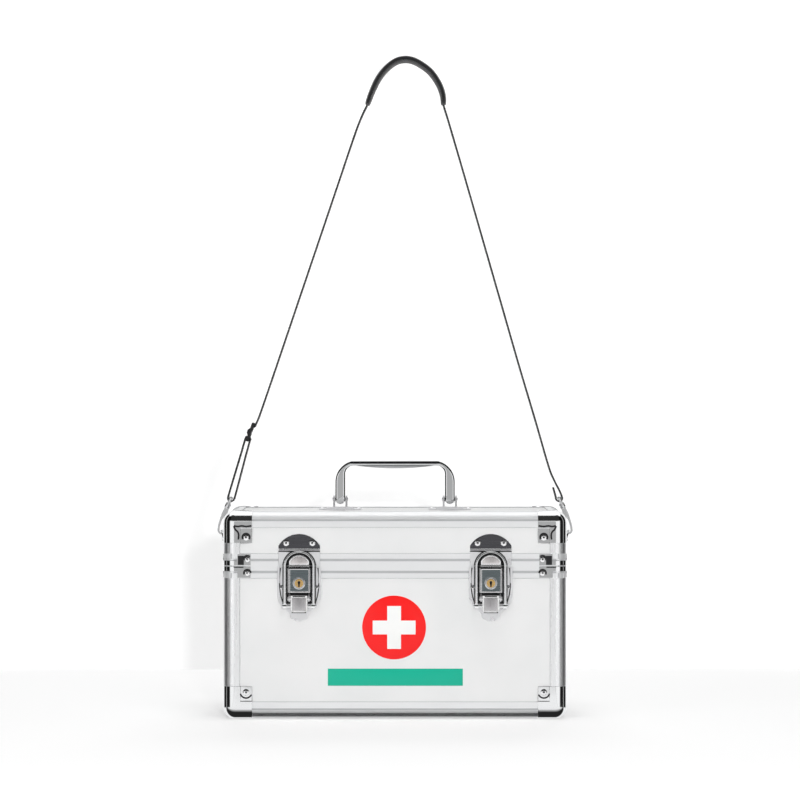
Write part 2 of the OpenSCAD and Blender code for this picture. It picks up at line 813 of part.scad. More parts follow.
// The lever: a bent channel with a side arm at each end of its pins
module latch_lever(s) {
  front = pivot_out + 3;
  module arm() {
    difference() {
      union() {
        translate([pivot_out, -pivot_down]) circle(3.3);
        translate([pivot_out - bail_behind, -pivot_down - bail_down]) circle(3);
        polygon([
          [pivot_out, -pivot_down + 3.3], [front, -pivot_down + 3.3],
          [front, -pivot_down - bail_down - 3], [pivot_out - bail_behind, -pivot_down - bail_down - 3],
          [pivot_out - bail_behind - 3, -pivot_down - bail_down], [pivot_out - 3.3, -pivot_down]
        ]);
      }
      translate([pivot_out, -pivot_down]) circle(lever_pin_r + run_fit);
      translate([pivot_out - bail_behind, -pivot_down - bail_down]) circle(bail_pin_r + run_fit);
    }
  }
  color(steel) at_latch(s) {
    for (m = [0, 1]) mirror([m, 0, 0]) along_x(lever_half_w - lever_t, lever_half_w) arm();
    difference() {
      face_plate(front - lever_t, front) {
        translate([-lever_half_w, -pivot_down - lever_len + 4])
          square([2 * lever_half_w, lever_len + 3.3 - 4]);
        translate([-lever_half_w + 3, -pivot_down - lever_len])
          square([2 * lever_half_w - 6, 5]);
        for (m = [0, 1]) mirror([m, 0]) translate([lever_half_w - 4, -pivot_down - lever_len + 4])
          circle(4);
      }
    }
    translate([0, -front, -pivot_down - lever_len + 1.2])
      rod_x(lever_t, -lever_half_w + 2.4, lever_half_w - 2.4);
  }
}

bail_len = bail_down + pivot_down - 0.5 + arch_r;
bail_tilt = asin((pivot_out - bail_behind - wire_out) / bail_len);

module at_bail(s) {
  at_latch(s) translate([0, -pivot_out + bail_behind, -pivot_down - bail_down]) children();
}

module bail_pin(s) {
  end = arch_r + wire_r + 0.5;
  color(steel) at_bail(s) {
    rod_x(bail_pin_r, -end, end);
    for (m = [0, 1]) mirror([m, 0, 0]) rod_x(bail_pin_r + 0.8, end, end + 0.9);
  }
}

// The wire bail: an arch on two legs, with an eye round each end of the pin
module latch_bail(s) {
  leg = bail_len - arch_r;
  color(steel) at_bail(s) rotate([-bail_tilt, 0, 0]) difference() {
    union() {
      for (m = [0, 1]) mirror([m, 0, 0]) {
        rod_x(3.2, arch_r - wire_r - 0.1, arch_r + wire_r + 0.1);
        translate([arch_r, 0, 0]) cylinder(r = wire_r, h = leg);
      }
      translate([0, 0, leg]) rotate([90, 0, 0]) rotate_extrude(angle = 180)
        translate([arch_r, 0]) circle(wire_r);
    }
    rod_x(bail_pin_r + run_fit, -arch_r - 5, arch_r + 5);
  }
}

module latch_rivets() {
  color(steel) both_latches() for (p = base_rivets)
    front_rivet(p[0], p[1], base_t, base_t + slot_end, small_head_r);
}

// One catch plate on the lid: a domed plate with a joggle and the D-shaped nose
module catch_plate() {
  step_z = rim_h + 2.6;
  module outline() {
    intersection() {
      translate([0, catch_top - catch_dome_r]) circle(catch_dome_r, $fn = 96);
      translate([-catch_half_w, 9]) square([2 * catch_half_w, catch_top]);
    }
    translate([-catch_half_w, 0.9]) square([2 * catch_half_w, 12]);
  }
  module nose(r) {
    intersection() {
      translate([0, -0.5]) circle(r);
      translate([-nose_half_w, 0.9]) square([2 * nose_half_w, r]);
    }
  }
  lip_out = wire_out + wire_r + 1.5;
  color(steel) difference() {
    union() {
      face_plate(0, catch_t) intersection() {
        outline();
        translate([-catch_half_w, 0]) square([2 * catch_half_w, step_z + 2]);
      }
      face_plate(-skin_t, catch_t - skin_t) intersection() {
        outline();
        translate([-catch_half_w, rim_h + 0.1]) square([2 * catch_half_w, catch_top]);
      }
      translate([0, -catch_t + 0.6, step_z + 0.5]) rod_x(1.5, -catch_half_w, catch_half_w);
      face_plate(catch_t - eps, lip_out) nose(nose_r);
      face_plate(lip_out - eps, lip_out + lip_t) nose(nose_r + lip_over);
    }
    for (p = catch_rivets) front_hole(p[0], p[1]);
  }
}

module catch_plates() {
  both_latches() catch_plate();
}

// Lid

module lid_front_panel() {
  color(laminate) difference() {
    translate([0, -half_d, lid_top - edge_r - lid_panel_h]) wall_panel(case_w, lid_panel_h);
    lid_down() corner_holes();
    both_latches() for (p = catch_rivets) front_hole(p[0], p[1]);
  }
}

module lid_back_panel() {
  color(laminate) difference() {
    translate([0, half_d, lid_top - edge_r - lid_panel_h]) mirror([0, 1, 0])
      wall_panel(case_w, lid_panel_h);
    lid_down() corner_holes();
  }
}

ring_rivet_y = ring_w / 2 + 5.5;

module lid_side_panels() {
  color(laminate) difference() {
    for (m = [0, 1]) mirror([m, 0, 0]) translate([-half_w, 0, lid_top - edge_r - lid_panel_h])
      rotate(-90) wall_panel(case_d, lid_panel_h);
    lid_down() corner_holes();
    for (s = [-1, 1]) for (m = [-1, 1]) at_side(s)
      translate([0, m * ring_rivet_y, -ring_down]) rod_x(hole_r, -10, 2);
  }
}

bracket_rivet = bracket_len / 2 - 3;

module bracket_rivet_places() {
  for (s = [-1, 1]) for (m = [-1, 1])
    translate([s * leg_shift + m * bracket_rivet, 0, lid_top - skin_t + bracket_t]) children();
}

module lid_top_panel() {
  color(laminate) difference() {
    lid_down() translate([0, 0, skin_t]) flat_panel();
    lid_down() corner_holes();
    bracket_rivet_places() translate([0, 0, -20]) cylinder(r = hole_r, h = 30);
  }
}

module lid_top_rails() {
  color(aluminium) lid_down() edge_rails();
}

module lid_corner_posts() {
  color(aluminium) corner_posts(parting_z + rim_h, lid_top - rail_w);
}

module lid_rim() {
  color(aluminium) up_from_parting() difference() {
    for (side = [0:3]) rim_length(side, true);
    rim_holes();
  }
}

module lid_corner_caps() {
  color(steel) lid_down() four_corners() corner_cap();
}

module lid_corner_plates() {
  color(steel) up_from_parting() four_corners() corner_plate();
}

module lid_corner_joints() {
  color(foam) lid_down() four_corners() corner_joint();
}

module lid_rivets() {
  color(steel) {
    lid_down() four_corners() cap_rivet_places() rivet(rivet_head_r, cap_t + panel_t);
    up_from_parting() four_corners() plate_rivet_places() rivet(plate_head_r, cap_t + frame_t);
    at_hinges() leaf_rivet_row();
    both_latches() for (p = catch_rivets)
      front_rivet(p[0], p[1], catch_t - skin_t, catch_t + panel_t, rivet_head_r);
    bracket_rivet_places() rivet(small_head_r, bracket_t + panel_t);
    for (s = [-1, 1]) for (m = [-1, 1]) at_side(s)
      translate([ring_bracket_t - skin_t, m * ring_rivet_y, -ring_down]) rotate([0, 90, 0])
        rivet(small_head_r, ring_bracket_t + panel_t);
  }
}

module lid_liner() {
  color(foam) lid_down() foam_tub(inner_r, lid_h - 1);
}

// Hinges

// A leaf up from the pin's axis at the origin; `outer` gives it the two end knuckles
module hinge_leaf(outer) {
  face = -knuckle_r - knuckle_gap;
  knuckle = (hinge_len - 2 * knuckle_gap) / 3;
  spans = outer
    ? [[-hinge_len / 2, -hinge_len / 2 + knuckle], [hinge_len / 2 - knuckle, hinge_len / 2]]
    : [[-knuckle / 2, knuckle / 2]];
  clear_z = knuckle_r + 0.3;
  color(steel) difference() {
    union() {
      translate([-hinge_len / 2, face, clear_z]) cube([hinge_len, leaf_t, leaf_h - clear_z]);
      for (s = spans) {
        rod_x(knuckle_r, s[0], s[1]);
        translate([s[0], face, 0]) cube([s[1] - s[0], leaf_t, clear_z + eps]);
      }
    }
    rod_x(hinge_pin_r + run_fit, -hinge_len, hinge_len);
    for (p = leaf_rivets) front_hole(p[0], p[1]);
  }
}

module at_hinges() {
  for (s = [-1, 1]) translate([s * hinge_x, hinge_y, parting_z]) children();
}

module lower_hinge_leaves() {
  at_hinges() mirror([0, 0, 1]) hinge_leaf(true);
}

module upper_hinge_leaves() {
  at_hinges() hinge_leaf(false);
}

// The rivets of the upward leaves, through the rim behind them
module leaf_rivet_row() {
  for (p = leaf_rivets) translate([p[0], -knuckle_r - knuckle_gap + leaf_t, p[1]])
    rotate([-90, 0, 0]) rivet(small_head_r, leaf_t + frame_t);
}

module hinge_pins() {
  color(steel) at_hinges() {
    rod_x(hinge_pin_r, -hinge_len / 2 - 0.3, hinge_len / 2 + 0.3);
    for (m = [0, 1]) mirror([m, 0, 0])
      rod_x(hinge_pin_r + 0.7, hinge_len / 2 + 0.3, hinge_len / 2 + 1.2);
  }
}

// Handle

// One bracket: a riveted plate with a raised middle and two ears for the pin
module handle_bracket() {
  z0 = -skin_t;
  ear_in = leg_t / 2 + 0.4;
  ear_t = 2;
  pin_z = handle_pivot_up;
  color(steel) difference() {
    union() {
      translate([-bracket_len / 2, -bracket_w / 2, z0]) cube([bracket_len, bracket_w, bracket_t]);
      translate([-14.5, -bracket_w / 2, z0 + bracket_t - eps]) cube([29, bracket_w, 1.6]);
      for (m = [0, 1]) mirror([m, 0, 0]) translate([ear_in, 0, 0])
        rotate([90, 0, 90]) linear_extrude(ear_t) {
          translate([0, pin_z]) circle(4.3);
          polygon([[-7, z0 + bracket_t + 1.5], [7, z0 + bracket_t + 1.5], [4.3, pin_z], [-4.3, pin_z]]);
        }
    }
    translate([0, 0, pin_z]) rod_x(handle_pin_r + rivet_fit, -20, 20);
    for (m = [-1, 1]) translate([m * bracket_rivet, 0, -5]) cylinder(r = hole_r, h = 10);
  }
}

module handle_brackets() {
  for (s = [-1, 1]) translate([s * leg_shift, 0, lid_top]) handle_bracket();
}

module handle_pins() {
  out = leg_t / 2 + 2.5;
  color(steel) for (s = [-1, 1]) translate([s * leg_shift, 0, handle_pivot_z]) {
    rod_x(handle_pin_r, -out, out);
    for (m = [0, 1]) mirror([m, 0, 0]) difference() {
      translate([out - 2.6, 0, 0]) sphere(3.6);
      translate([out - 10, -5, -5]) cube([10, 10, 10]);
    }
  }
}

// The handle seen from the front, its pivots on z = 0
module handle_outline() {
  w = leg_gap + leg_t;
  inner_w = leg_gap - leg_t;
  inner_r = 9;
  difference() {
    union() {
      translate([-w / 2 + bend_r, 0]) square([w - 2 * bend_r, handle_h]);
      translate([-w / 2, 0]) square([w, handle_h - bend_r]);
      for (m = [-1, 1]) translate([m * (w / 2 - bend_r), handle_h - bend_r])
        circle(bend_r);
      for (m = [-1, 1]) translate([m * leg_shift, 0]) circle(leg_t / 2);
    }
    translate([-inner_w / 2 + inner_r, -9]) square([inner_w - 2 * inner_r, handle_h - bar_t + 9]);
    translate([-inner_w / 2, -9]) square([inner_w, handle_h - bar_t - inner_r + 9]);
    for (m = [-1, 1]) translate([m * (inner_w / 2 - inner_r), handle_h - bar_t - inner_r])
      circle(inner_r);
  }
}

// The handle's section seen from the side: rounded off above and wider at the grip
module handle_side() {
  half = handle_w / 2;
  circle(half);
  intersection() {
    translate([-half, 0]) square([handle_w, handle_h]);
    translate([0, handle_h - 20]) circle(20);
  }
  translate([-half, 0]) square([handle_w, handle_h - 8]);
}

module carry_handle() {
  color(steel) translate([0, 0, handle_pivot_z]) difference() {
    intersection() {
      upright(handle_w + 2) handle_outline();
      translate([-leg_gap, 0, 0]) rotate([90, 0, 90]) linear_extrude(2 * leg_gap) handle_side();
    }
    for (m = [-1, 1]) translate([m * leg_shift, 0, 0])
      rod_x(handle_pin_r + run_fit, -leg_t, leg_t);
  }
}

// The moulded insert under the bar, swelling to its middle
module handle_grip() {
  half = leg_gap / 2 - leg_t / 2 - 12;
  swell_r = (half * half + grip_swell * grip_swell) / (2 * grip_swell);
  under = handle_h - bar_t;
  color(dark_steel) translate([0, 0, handle_pivot_z + under]) upright(handle_w - 2)
    intersection() {
      translate([0, swell_r - grip_swell]) circle(swell_r, $fn = 240);
      translate([-half, -grip_swell]) square([2 * half, grip_swell]);
    }
}

// Strap fittings

ring_bracket_t = 1.2;
bridge_r = ring_wire_r + 1.3;

// A plate on the lid's side with a bridge over the ring's bar
module ring_bracket() {
  x0 = -skin_t;
  y_half = ring_w / 2 + ring_plate_side;
  plate_h = ring_plate_h;
  bridge_half = ring_bridge_w / 2;
  color(steel) difference() {
    union() {
      translate([x0, -y_half, -ring_down - plate_h / 2])
        cube([ring_bracket_t, 2 * y_half, plate_h]);
      translate([ring_out, 0, -ring_down]) rod_y(bridge_r, -bridge_half, bridge_half);
      translate([x0, -bridge_half, -ring_down - bridge_r])
        cube([ring_out - x0, ring_bridge_w, 2 * bridge_r]);
    }
    translate([ring_out, 0, -ring_down]) rod_y(ring_wire_r + 0.1, -ring_w / 2, ring_w / 2);
    for (m = [-1, 1]) translate([0, m * ring_rivet_y, -ring_down]) rod_x(hole_r, -5, 5);
  }
}

module ring_brackets() {
  for (s = [-1, 1]) at_side(s) ring_bracket();
}

// A D-ring: its bar lies in the bracket and its arch leans out to the hook
module strap_ring() {
  r = ring_w / 2;
  straight = ring_h - r;
  color(steel) translate([ring_out, 0, -ring_down]) rotate([0, ring_lean, 0]) {
    rod_y(ring_wire_r, -r, r);
    for (m = [-1, 1]) translate([0, m * r, 0]) {
      sphere(ring_wire_r);
      cylinder(r = ring_wire_r, h = straight);
    }
    translate([0, 0, straight]) rotate([90, 0, 90]) rotate_extrude(angle = 180)
      translate([r, 0]) circle(ring_wire_r);
  }
}

module strap_rings() {
  for (s = [-1, 1]) at_side(s) strap_ring();
}

// The snap hook in the plane of the strap: a crook under the ring and a slanting limb
crook = [6, -22.7];
crook_in = 2.6;
crook_out = 5;
gate_pivot = [2.6, -7.6];
eye_bar = [-4, 11.5];
eye_boss = [-1, 5];

stem_r = 1.3;

// The axis of the swivel's stem, leaning in from the hook to the strap
module at_stem() {
  translate([eye_boss[0], 0, eye_boss[1]]) rotate([0, -26, 0]) children();
}

module hook_outline() {
  intersection() {
    translate(crook) difference() {
      circle(crook_out);
      circle(crook_in);
    }
    translate([crook[0] - 6, crook[1] - 6]) square([12, 6]);
  }
  translate([crook[0] - crook_out, crook[1]]) square([crook_out - crook_in, 2.4]);
  polygon([
    [11, crook[1]], [10.2, -17], [8.9, -12.5], [6, -4.5], [2.6, 2], [-1.6, 0.4], [-0.4, -3.4],
    [0.9, -9.2], [3.4, -9.6], [4.2, -9], [6.6, -14], [8, -18.5], [8.6, crook[1]]
  ]);
}

module snap_hook() {
  color(steel) difference() {
    union() {
      upright(hook_t) hook_outline();
      at_stem() translate([0, 0, -5.2]) cylinder(r1 = 2.4, r2 = 3.1, h = 1.4);
    }
    at_stem() translate([0, 0, -6.2]) cylinder(r = stem_r + run_fit, h = 4);
    translate([gate_pivot[0] - 2.6, -gate_t / 2 - 0.2, gate_pivot[1] - 6])
      cube([4.9, gate_t + 0.4, 8.6]);
    translate([gate_pivot[0], 0, gate_pivot[1]]) rod_y(gate_pin_r + rivet_fit, -10, 10);
  }
}

module snap_hooks() {
  for (s = [-1, 1]) at_side(s) snap_hook();
}

module gate_pins() {
  color(steel) for (s = [-1, 1]) at_side(s) translate([gate_pivot[0], 0, gate_pivot[1]])
    rod_y(gate_pin_r, -hook_t / 2 - 0.2, hook_t / 2 + 0.2);
}

// The sprung gate, from its pin down to the tip of the crook
module hook_gate(s) {
  color(steel) at_side(s) difference() {
    union() {
      translate([gate_pivot[0], 0, gate_pivot[1]]) rod_y(1.7, -gate_t / 2, gate_t / 2);
      upright(gate_t - 0.2)
        polygon([[1.1, -8.3], [4.1, -8.3], [3.4, crook[1] + 2.8], [1, crook[1] + 2.8]]);
    }
    translate([gate_pivot[0], 0, gate_pivot[1]]) rod_y(gate_pin_r + run_fit, -10, 10);
  }
}

// A round rod from one point to another
module rod(a, b, r) {
  v = b - a;
  translate(a) rotate([0, acos(v[2] / norm(v)), atan2(v[1], v[0])]) cylinder(r = r, h = norm(v));
}

// The swivel eye: a wire frame for the webbing, with a boss whose stem turns in the hook
module hook_swivel() {
  half = web_w / 2 + 2.4;
  frame_r = 1.5;
  color(steel) {
    translate([eye_bar[0], 0, eye_bar[1]]) rod_y(eye_bar_r, -half, half);
    translate([eye_boss[0], 0, eye_boss[1]]) rod_y(frame_r, -half, half);
    for (m = [-1, 1]) {
      translate([eye_bar[0], m * half, eye_bar[1]]) sphere(eye_bar_r);
      translate([eye_boss[0], m * half, eye_boss[1]]) sphere(frame_r);
      rod([eye_boss[0], m * half, eye_boss[1]], [eye_bar[0], m * half, eye_bar[1]], frame_r);
    }
    at_stem() {
      translate([0, 0, -3.5]) cylinder(r = 3.1, h = 4.5);
      translate([0, 0, -6]) cylinder(r = stem_r, h = 3);
    }
  }
}

module hook_swivels() {
  for (s = [-1, 1]) at_side(s) hook_swivel();
}

// Strap: routes in the plane y = 0, as [x, z] points

// A point by the adjuster: along the strap, and to the side that faces the handle
adjuster_at = [-155.2, 300.4];
function by_adjuster(along, inward) = adjuster_at + along * [0.342, 0.94] + inward * [0.94, -0.342];

// Points round the bar of a swivel eye
function round_bar(side, a0, a1, steps) = [for (i = [0:steps])
  let (a = a0 + (a1 - a0) * i / steps)
  [side * (half_w + eye_bar[0]) + 3.5 * cos(a), lid_top + eye_bar[1] + 3.5 * sin(a)]];

left_route = concat(
  [[-30.2, 650.6], [-34.5, 642], [-41, 626], [-62, 564], [-85, 496], [-108, 428], [-131, 360],
    [-143, 325], [-146.6, 315]],
  [by_adjuster(10.5, 2.7), by_adjuster(7.5, 2.7), by_adjuster(1.5, -2.7),
    by_adjuster(-1.5, -2.7), by_adjuster(-7.5, 2.7), by_adjuster(-10.5, 2.7)],
  [[-160, 276], [-165, 257], [-170, 238]],
  round_bar(-1, -15, -200, 6),
  [[-176, 242], [-170, 262], [-164.6, 280]],
  [by_adjuster(-10.5, -2.7), by_adjuster(-5.6, -2.7)]
);
right_route = concat(
  [[52.1, 650.6], [57, 635], [76, 570], [95, 504], [114, 438], [133, 372], [152, 308],
    [166, 260], [171.6, 247], [176.6, 237.4]],
  round_bar(1, 12, -192, 7),
  [[171.2, 235.6], [169.6, 241]]
);
pad_route = [
  [-30, 651], [-25, 665], [-17.5, 680.5], [-8, 692], [1.5, 698.6], [10.7, 700.6], [20, 699],
  [30, 693.5], [39, 686], [47.5, 673], [51.5, 661], [52, 651]
];

// A direction of travel at each point of a route
function unit(v) = v / norm(v);
function tangent(r, i) =
  i == 0 ? unit(r[1] - r[0]) :
  i == len(r) - 1 ? unit(r[i] - r[i - 1]) :
  unit(unit(r[i] - r[i - 1]) + unit(r[i + 1] - r[i]));

// A band of webbing swept along a route, eight points to a section
module webbing(route, w, t) {
  c = t * 0.35;
  section = [
    [-w / 2, -t / 2 + c], [-w / 2 + c, -t / 2], [w / 2 - c, -t / 2], [w / 2, -t / 2 + c],
    [w / 2, t / 2 - c], [w / 2 - c, t / 2], [-w / 2 + c, t / 2], [-w / 2, t / 2 - c]
  ];
  n = len(section);
  rings = len(route);
  points = [for (i = [0:rings - 1]) let (d = tangent(route, i)) for (s = section)
    [route[i][0] - d[1] * s[1], s[0], route[i][1] + d[0] * s[1]]];
  sides = [for (i = [0:rings - 2]) for (j = [0:n - 1]) let (a = i * n + j, b = i * n + (j + 1) % n)
    each [[a, b, b + n], [a, b + n, a + n]]];
  first = [for (j = [1:n - 2]) [0, j + 1, j]];
  last = [for (j = [1:n - 2]) let (k = (rings - 1) * n) [k, k + j, k + j + 1]];
  polyhedron(points, concat(sides, first, last));
}

module strap_left() {
  color(black_web) webbing(left_route, web_w, web_t);
}

module strap_right() {
  color(black_web) webbing(right_route, web_w, web_t);
}

// The shoulder pad: a crowned band whose ends taper in, swept over the top of the strap
module shoulder_pad() {
  steps = 24;
  rings = len(pad_route);
  function taper(u) = 0.72 + 0.28 * sqrt(max(0, 1 - pow(abs(2 * u - 1), 4)));
  points = [for (i = [0:rings - 1]) let (
      d = tangent(pad_route, i), u = i / (rings - 1), f = taper(u)
    ) for (j = [0:steps - 1]) let (
      a = 360 * j / steps, ca = cos(a), sa = sin(a),
      y = sign(ca) * pow(abs(ca), 0.6) * pad_w / 2 * f,
      h = sign(sa) * pow(abs(sa), 0.7) * pad_t / 2 * f
    ) [pad_route[i][0] - d[1] * h, y, pad_route[i][1] + d[0] * h]];
  sides = [for (i = [0:rings - 2]) for (j = [0:steps - 1])
    let (a = i * steps + j, b = i * steps + (j + 1) % steps)
    each [[a, b, b + steps], [a, b + steps, a + steps]]];
  first = [for (j = [1:steps - 2]) [0, j + 1, j]];
  last = [for (j = [1:steps - 2]) let (k = (rings - 1) * steps) [k, k + j, k + j + 1]];
  color(black_web) polyhedron(points, concat(sides, first, last));
}

// The adjuster: a flat frame with two slots, which the webbing weaves through
module strap_adjuster() {
  bar = 3;
  slot = 6;
  length = 3 * bar + 2 * slot;
  frame_w = web_w + 6;
  color(black_web) translate([adjuster_at[0], 0, adjuster_at[1]]) rotate([0, 20, 0])
    translate([-1.5, 0, 0]) rotate([90, 0, 90]) linear_extrude(3) difference() {
      rounded_rect(frame_w, length, 2);
      for (m = [-1, 1]) translate([0, m * (bar + slot) / 2])
        square([web_w + 1, slot], center = true);
    }
}

body_front_panel();
body_back_panel();
body_side_panels();
body_floor_panel();
body_bottom_rails();
body_corner_posts();
body_rim();
bottom_corner_caps();
body_corner_plates();
body_corner_joints();
body_rivets();
body_liner();
latch_bases();
lock_housings();
lever_pins();
latch_rivets();
lower_hinge_leaves();
hinge_pins();
lock_cylinder(-1);  // lock_cylinder_left
lock_cylinder(1);  // lock_cylinder_right
latch_lever(-1);  // latch_lever_left
latch_lever(1);  // latch_lever_right
bail_pin(-1);  // bail_pin_left
bail_pin(1);  // bail_pin_right
latch_bail(-1);  // latch_bail_left
latch_bail(1);  // latch_bail_right
medicine_tray();
lid_top_panel();
lid_front_panel();
lid_back_panel();
lid_side_panels();
lid_top_rails();
lid_corner_posts();
lid_rim();
lid_corner_caps();
lid_corner_plates();
lid_corner_joints();
lid_rivets();
lid_liner();
catch_plates();
handle_brackets();
handle_pins();
upper_hinge_leaves();
carry_handle();
handle_grip();
ring_brackets();
strap_rings();
snap_hooks();
gate_pins();
hook_gate(-1);  // hook_gate_left
hook_gate(1);  // hook_gate_right
hook_swivels();
strap_left();
strap_right();
shoulder_pad();
strap_adjuster();
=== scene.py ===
"""Dresses the medicine storage box: finishes for its CAD nodes, its strap, pad, label and small trim.

Every length is in metres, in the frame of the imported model, unless a name or a docstring says
millimetres.
"""

import logging
import math
from collections.abc import Callable
from dataclasses import dataclass, field
from enum import Enum

import bmesh
import bpy
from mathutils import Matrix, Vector
from mathutils.bvhtree import BVHTree


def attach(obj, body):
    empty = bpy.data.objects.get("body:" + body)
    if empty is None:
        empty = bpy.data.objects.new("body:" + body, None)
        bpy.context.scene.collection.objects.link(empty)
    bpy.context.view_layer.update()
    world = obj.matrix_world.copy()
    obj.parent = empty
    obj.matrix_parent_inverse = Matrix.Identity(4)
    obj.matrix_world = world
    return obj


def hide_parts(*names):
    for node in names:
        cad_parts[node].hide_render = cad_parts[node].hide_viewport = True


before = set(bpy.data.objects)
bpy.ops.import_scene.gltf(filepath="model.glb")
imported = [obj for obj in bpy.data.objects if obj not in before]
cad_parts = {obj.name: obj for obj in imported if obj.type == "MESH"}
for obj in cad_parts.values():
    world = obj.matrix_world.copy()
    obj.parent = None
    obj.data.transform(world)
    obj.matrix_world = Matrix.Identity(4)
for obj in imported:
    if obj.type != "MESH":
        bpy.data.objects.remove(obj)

log = logging.getLogger("medicine_box")
MM = 0.001
QUARTER = math.radians(90)
# The angle from which an edge is broken, the one up to which it is shaded smooth, and the one
# below which two faces are one flat face.
SHARP = math.radians(38)
SMOOTH = math.radians(32)
FLAT = math.radians(0.6)
# The unit of thin edges and margins.
HAIR = 0.0001
# How far the back face of the webbing lies from its front face in the UV map.
BACK_FACE = 0.5
# Where most values of a noise lie.
NOISE_SPAN = (0.3, 0.7)
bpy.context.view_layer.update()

Piece = bpy.types.Object
Node = bpy.types.Node
Tree = bpy.types.NodeTree
Colour = tuple[float, float, float, float]
Point = tuple[float, float, float]
Pair = tuple[float, float]
FaceTest = Callable[[Vector, Vector], bool]


class Body(Enum):
    """The rigid bodies that the dressing pieces ride on."""

    CASE = "case"
    LID = "lid"
    HANDLE = "handle"
    TRAY = "tray"
    LEVER_LEFT = "lever_left"
    LEVER_RIGHT = "lever_right"
    BAIL_LEFT = "bail_left"
    BAIL_RIGHT = "bail_right"
    LOCK_LEFT = "lock_left"
    LOCK_RIGHT = "lock_right"
    GATE_LEFT = "gate_left"
    GATE_RIGHT = "gate_right"


class Grain(Enum):
    """The way that the fine lines of a metal surface run, as the stretch of their noise."""

    LEVEL = (0.03, 0.03, 1.0)
    UPRIGHT = (1.0, 1.0, 0.02)
    ACROSS = (0.04, 1.0, 1.0)


def linear(code: str) -> Colour:
    """Turns an sRGB hex colour, "#rrggbb", to linear values with an alpha of 1."""
    parts = [int(code[i : i + 2], 16) / 255 for i in (1, 3, 5)]
    return (*(c / 12.92 if c <= 0.04045 else ((c + 0.055) / 1.055) ** 2.4 for c in parts), 1.0)


def grey(level: float) -> Colour:
    """A neutral linear colour of one level."""
    return (level, level, level, 1.0)


def feed(node: Node, inputs: dict | tuple) -> None:
    """Fills the inputs of a shader node.

    Args:
        node: The node.
        inputs: Values, sockets or nodes, in the inputs' order or by their names.
    """
    for key, source in inputs.items() if isinstance(inputs, dict) else enumerate(inputs):
        if isinstance(source, Node):
            source = source.outputs[0]
        if isinstance(source, bpy.types.NodeSocket):
            node.id_data.links.new(source, node.inputs[key])
        else:
            node.inputs[key].default_value = source


def add_node(tree: Tree, kind: str, inputs: dict | tuple = (), stops: tuple = (),
             **settings: object) -> Node:
    """Adds a shader node.

    Args:
        tree: The node tree that it goes in.
        kind: The node's type name, without its "ShaderNode" prefix.
        inputs: What its inputs take, as for feed.
        stops: For a colour ramp, pairs of a place from 0 to 1 and a linear colour.
        settings: Properties of the node itself.

    Returns:
        The new node.
    """
    node = tree.nodes.new("ShaderNode" + kind)
    for name, value in settings.items():
        setattr(node, name, value)
    feed(node, inputs)
    if stops:
        marks = node.color_ramp.elements
        while len(marks) < len(stops):
            marks.new(0.5)
        for mark, (place, colour) in zip(marks, stops):
            mark.position, mark.color = place, colour
    return node


# Finishes


@dataclass(frozen=True)
class Finish:
    """A procedural surface: what it is made of and how it was made."""

    name: str
    colour: str
    roughness: float = 0.5
    metallic: float = 0.0
    made: dict = field(default_factory=dict)

    def material(self) -> bpy.types.Material:
        """The finish's material, made at its first use.

        Returns:
            The material.
        """
        if not self.made:
            mat = bpy.data.materials.new(self.name)
            mat.use_nodes = True
            mat.diffuse_color = linear(self.colour)
            self.made.update(mat=mat, shader=mat.node_tree.nodes["Principled BSDF"])
            feed(self.made["shader"], {"Base Color": linear(self.colour), "Metallic": self.metallic,
                                       "Roughness": self.roughness})
            self.shade()
        return self.made["mat"]

    def shade(self) -> None:
        """Adds the surface's own pattern; the plain finish has none."""

    def add(self, kind: str, inputs: dict | tuple = (), stops: tuple = (), **settings: object) -> Node:
        """Adds a node to the finish's material, as add_node does."""
        return add_node(self.made["mat"].node_tree, kind, inputs, stops, **settings)

    def dress(self, **inputs: object) -> None:
        """Fills the shader's inputs, by name with underscores for spaces."""
        feed(self.made["shader"], {name.replace("_", " "): value for name, value in inputs.items()})

    def place(self, scale: Point = (1.0, 1.0, 1.0)) -> Node:
        """Object coordinates, stretched by a factor along each axis."""
        return self.add("Mapping", {"Vector": self.add("TexCoord").outputs["Object"], "Scale": scale})

    def noise(self, size_mm: float, scale: Point = (1.0, 1.0, 1.0), detail: float = 2.0) -> Node:
        """A noise whose patches have one real size, with its stretch and its finer octaves."""
        return self.add("TexNoise", {"Vector": self.place(scale), "Scale": 1.0 / (size_mm * MM),
                                     "Detail": detail})

    def rough(self, pattern: Node, low: float, high: float) -> None:
        """Lets a pattern vary the roughness between a low and a high value."""
        first, last = NOISE_SPAN
        self.dress(Roughness=self.add("MapRange", {"Value": pattern, "From Min": first, "From Max": last,
                                                   "To Min": low, "To Max": high}))

    def tint(self, pattern: Node, low: str, high: str, span: Pair = (0.32, 0.68)) -> None:
        """Lets a pattern vary the colour between two hex colours, over one span of its values."""
        stops = tuple(zip(span, (linear(low), linear(high))))
        self.dress(Base_Color=self.add("ValToRGB", (pattern,), stops))

    def relief(self, pattern: Node, height_mm: float, strength: float) -> None:
        """Lets a pattern raise the surface by a full height, of which a share shows."""
        self.dress(Normal=self.add("Bump", {"Height": pattern, "Distance": height_mm * MM,
                                            "Strength": strength}))


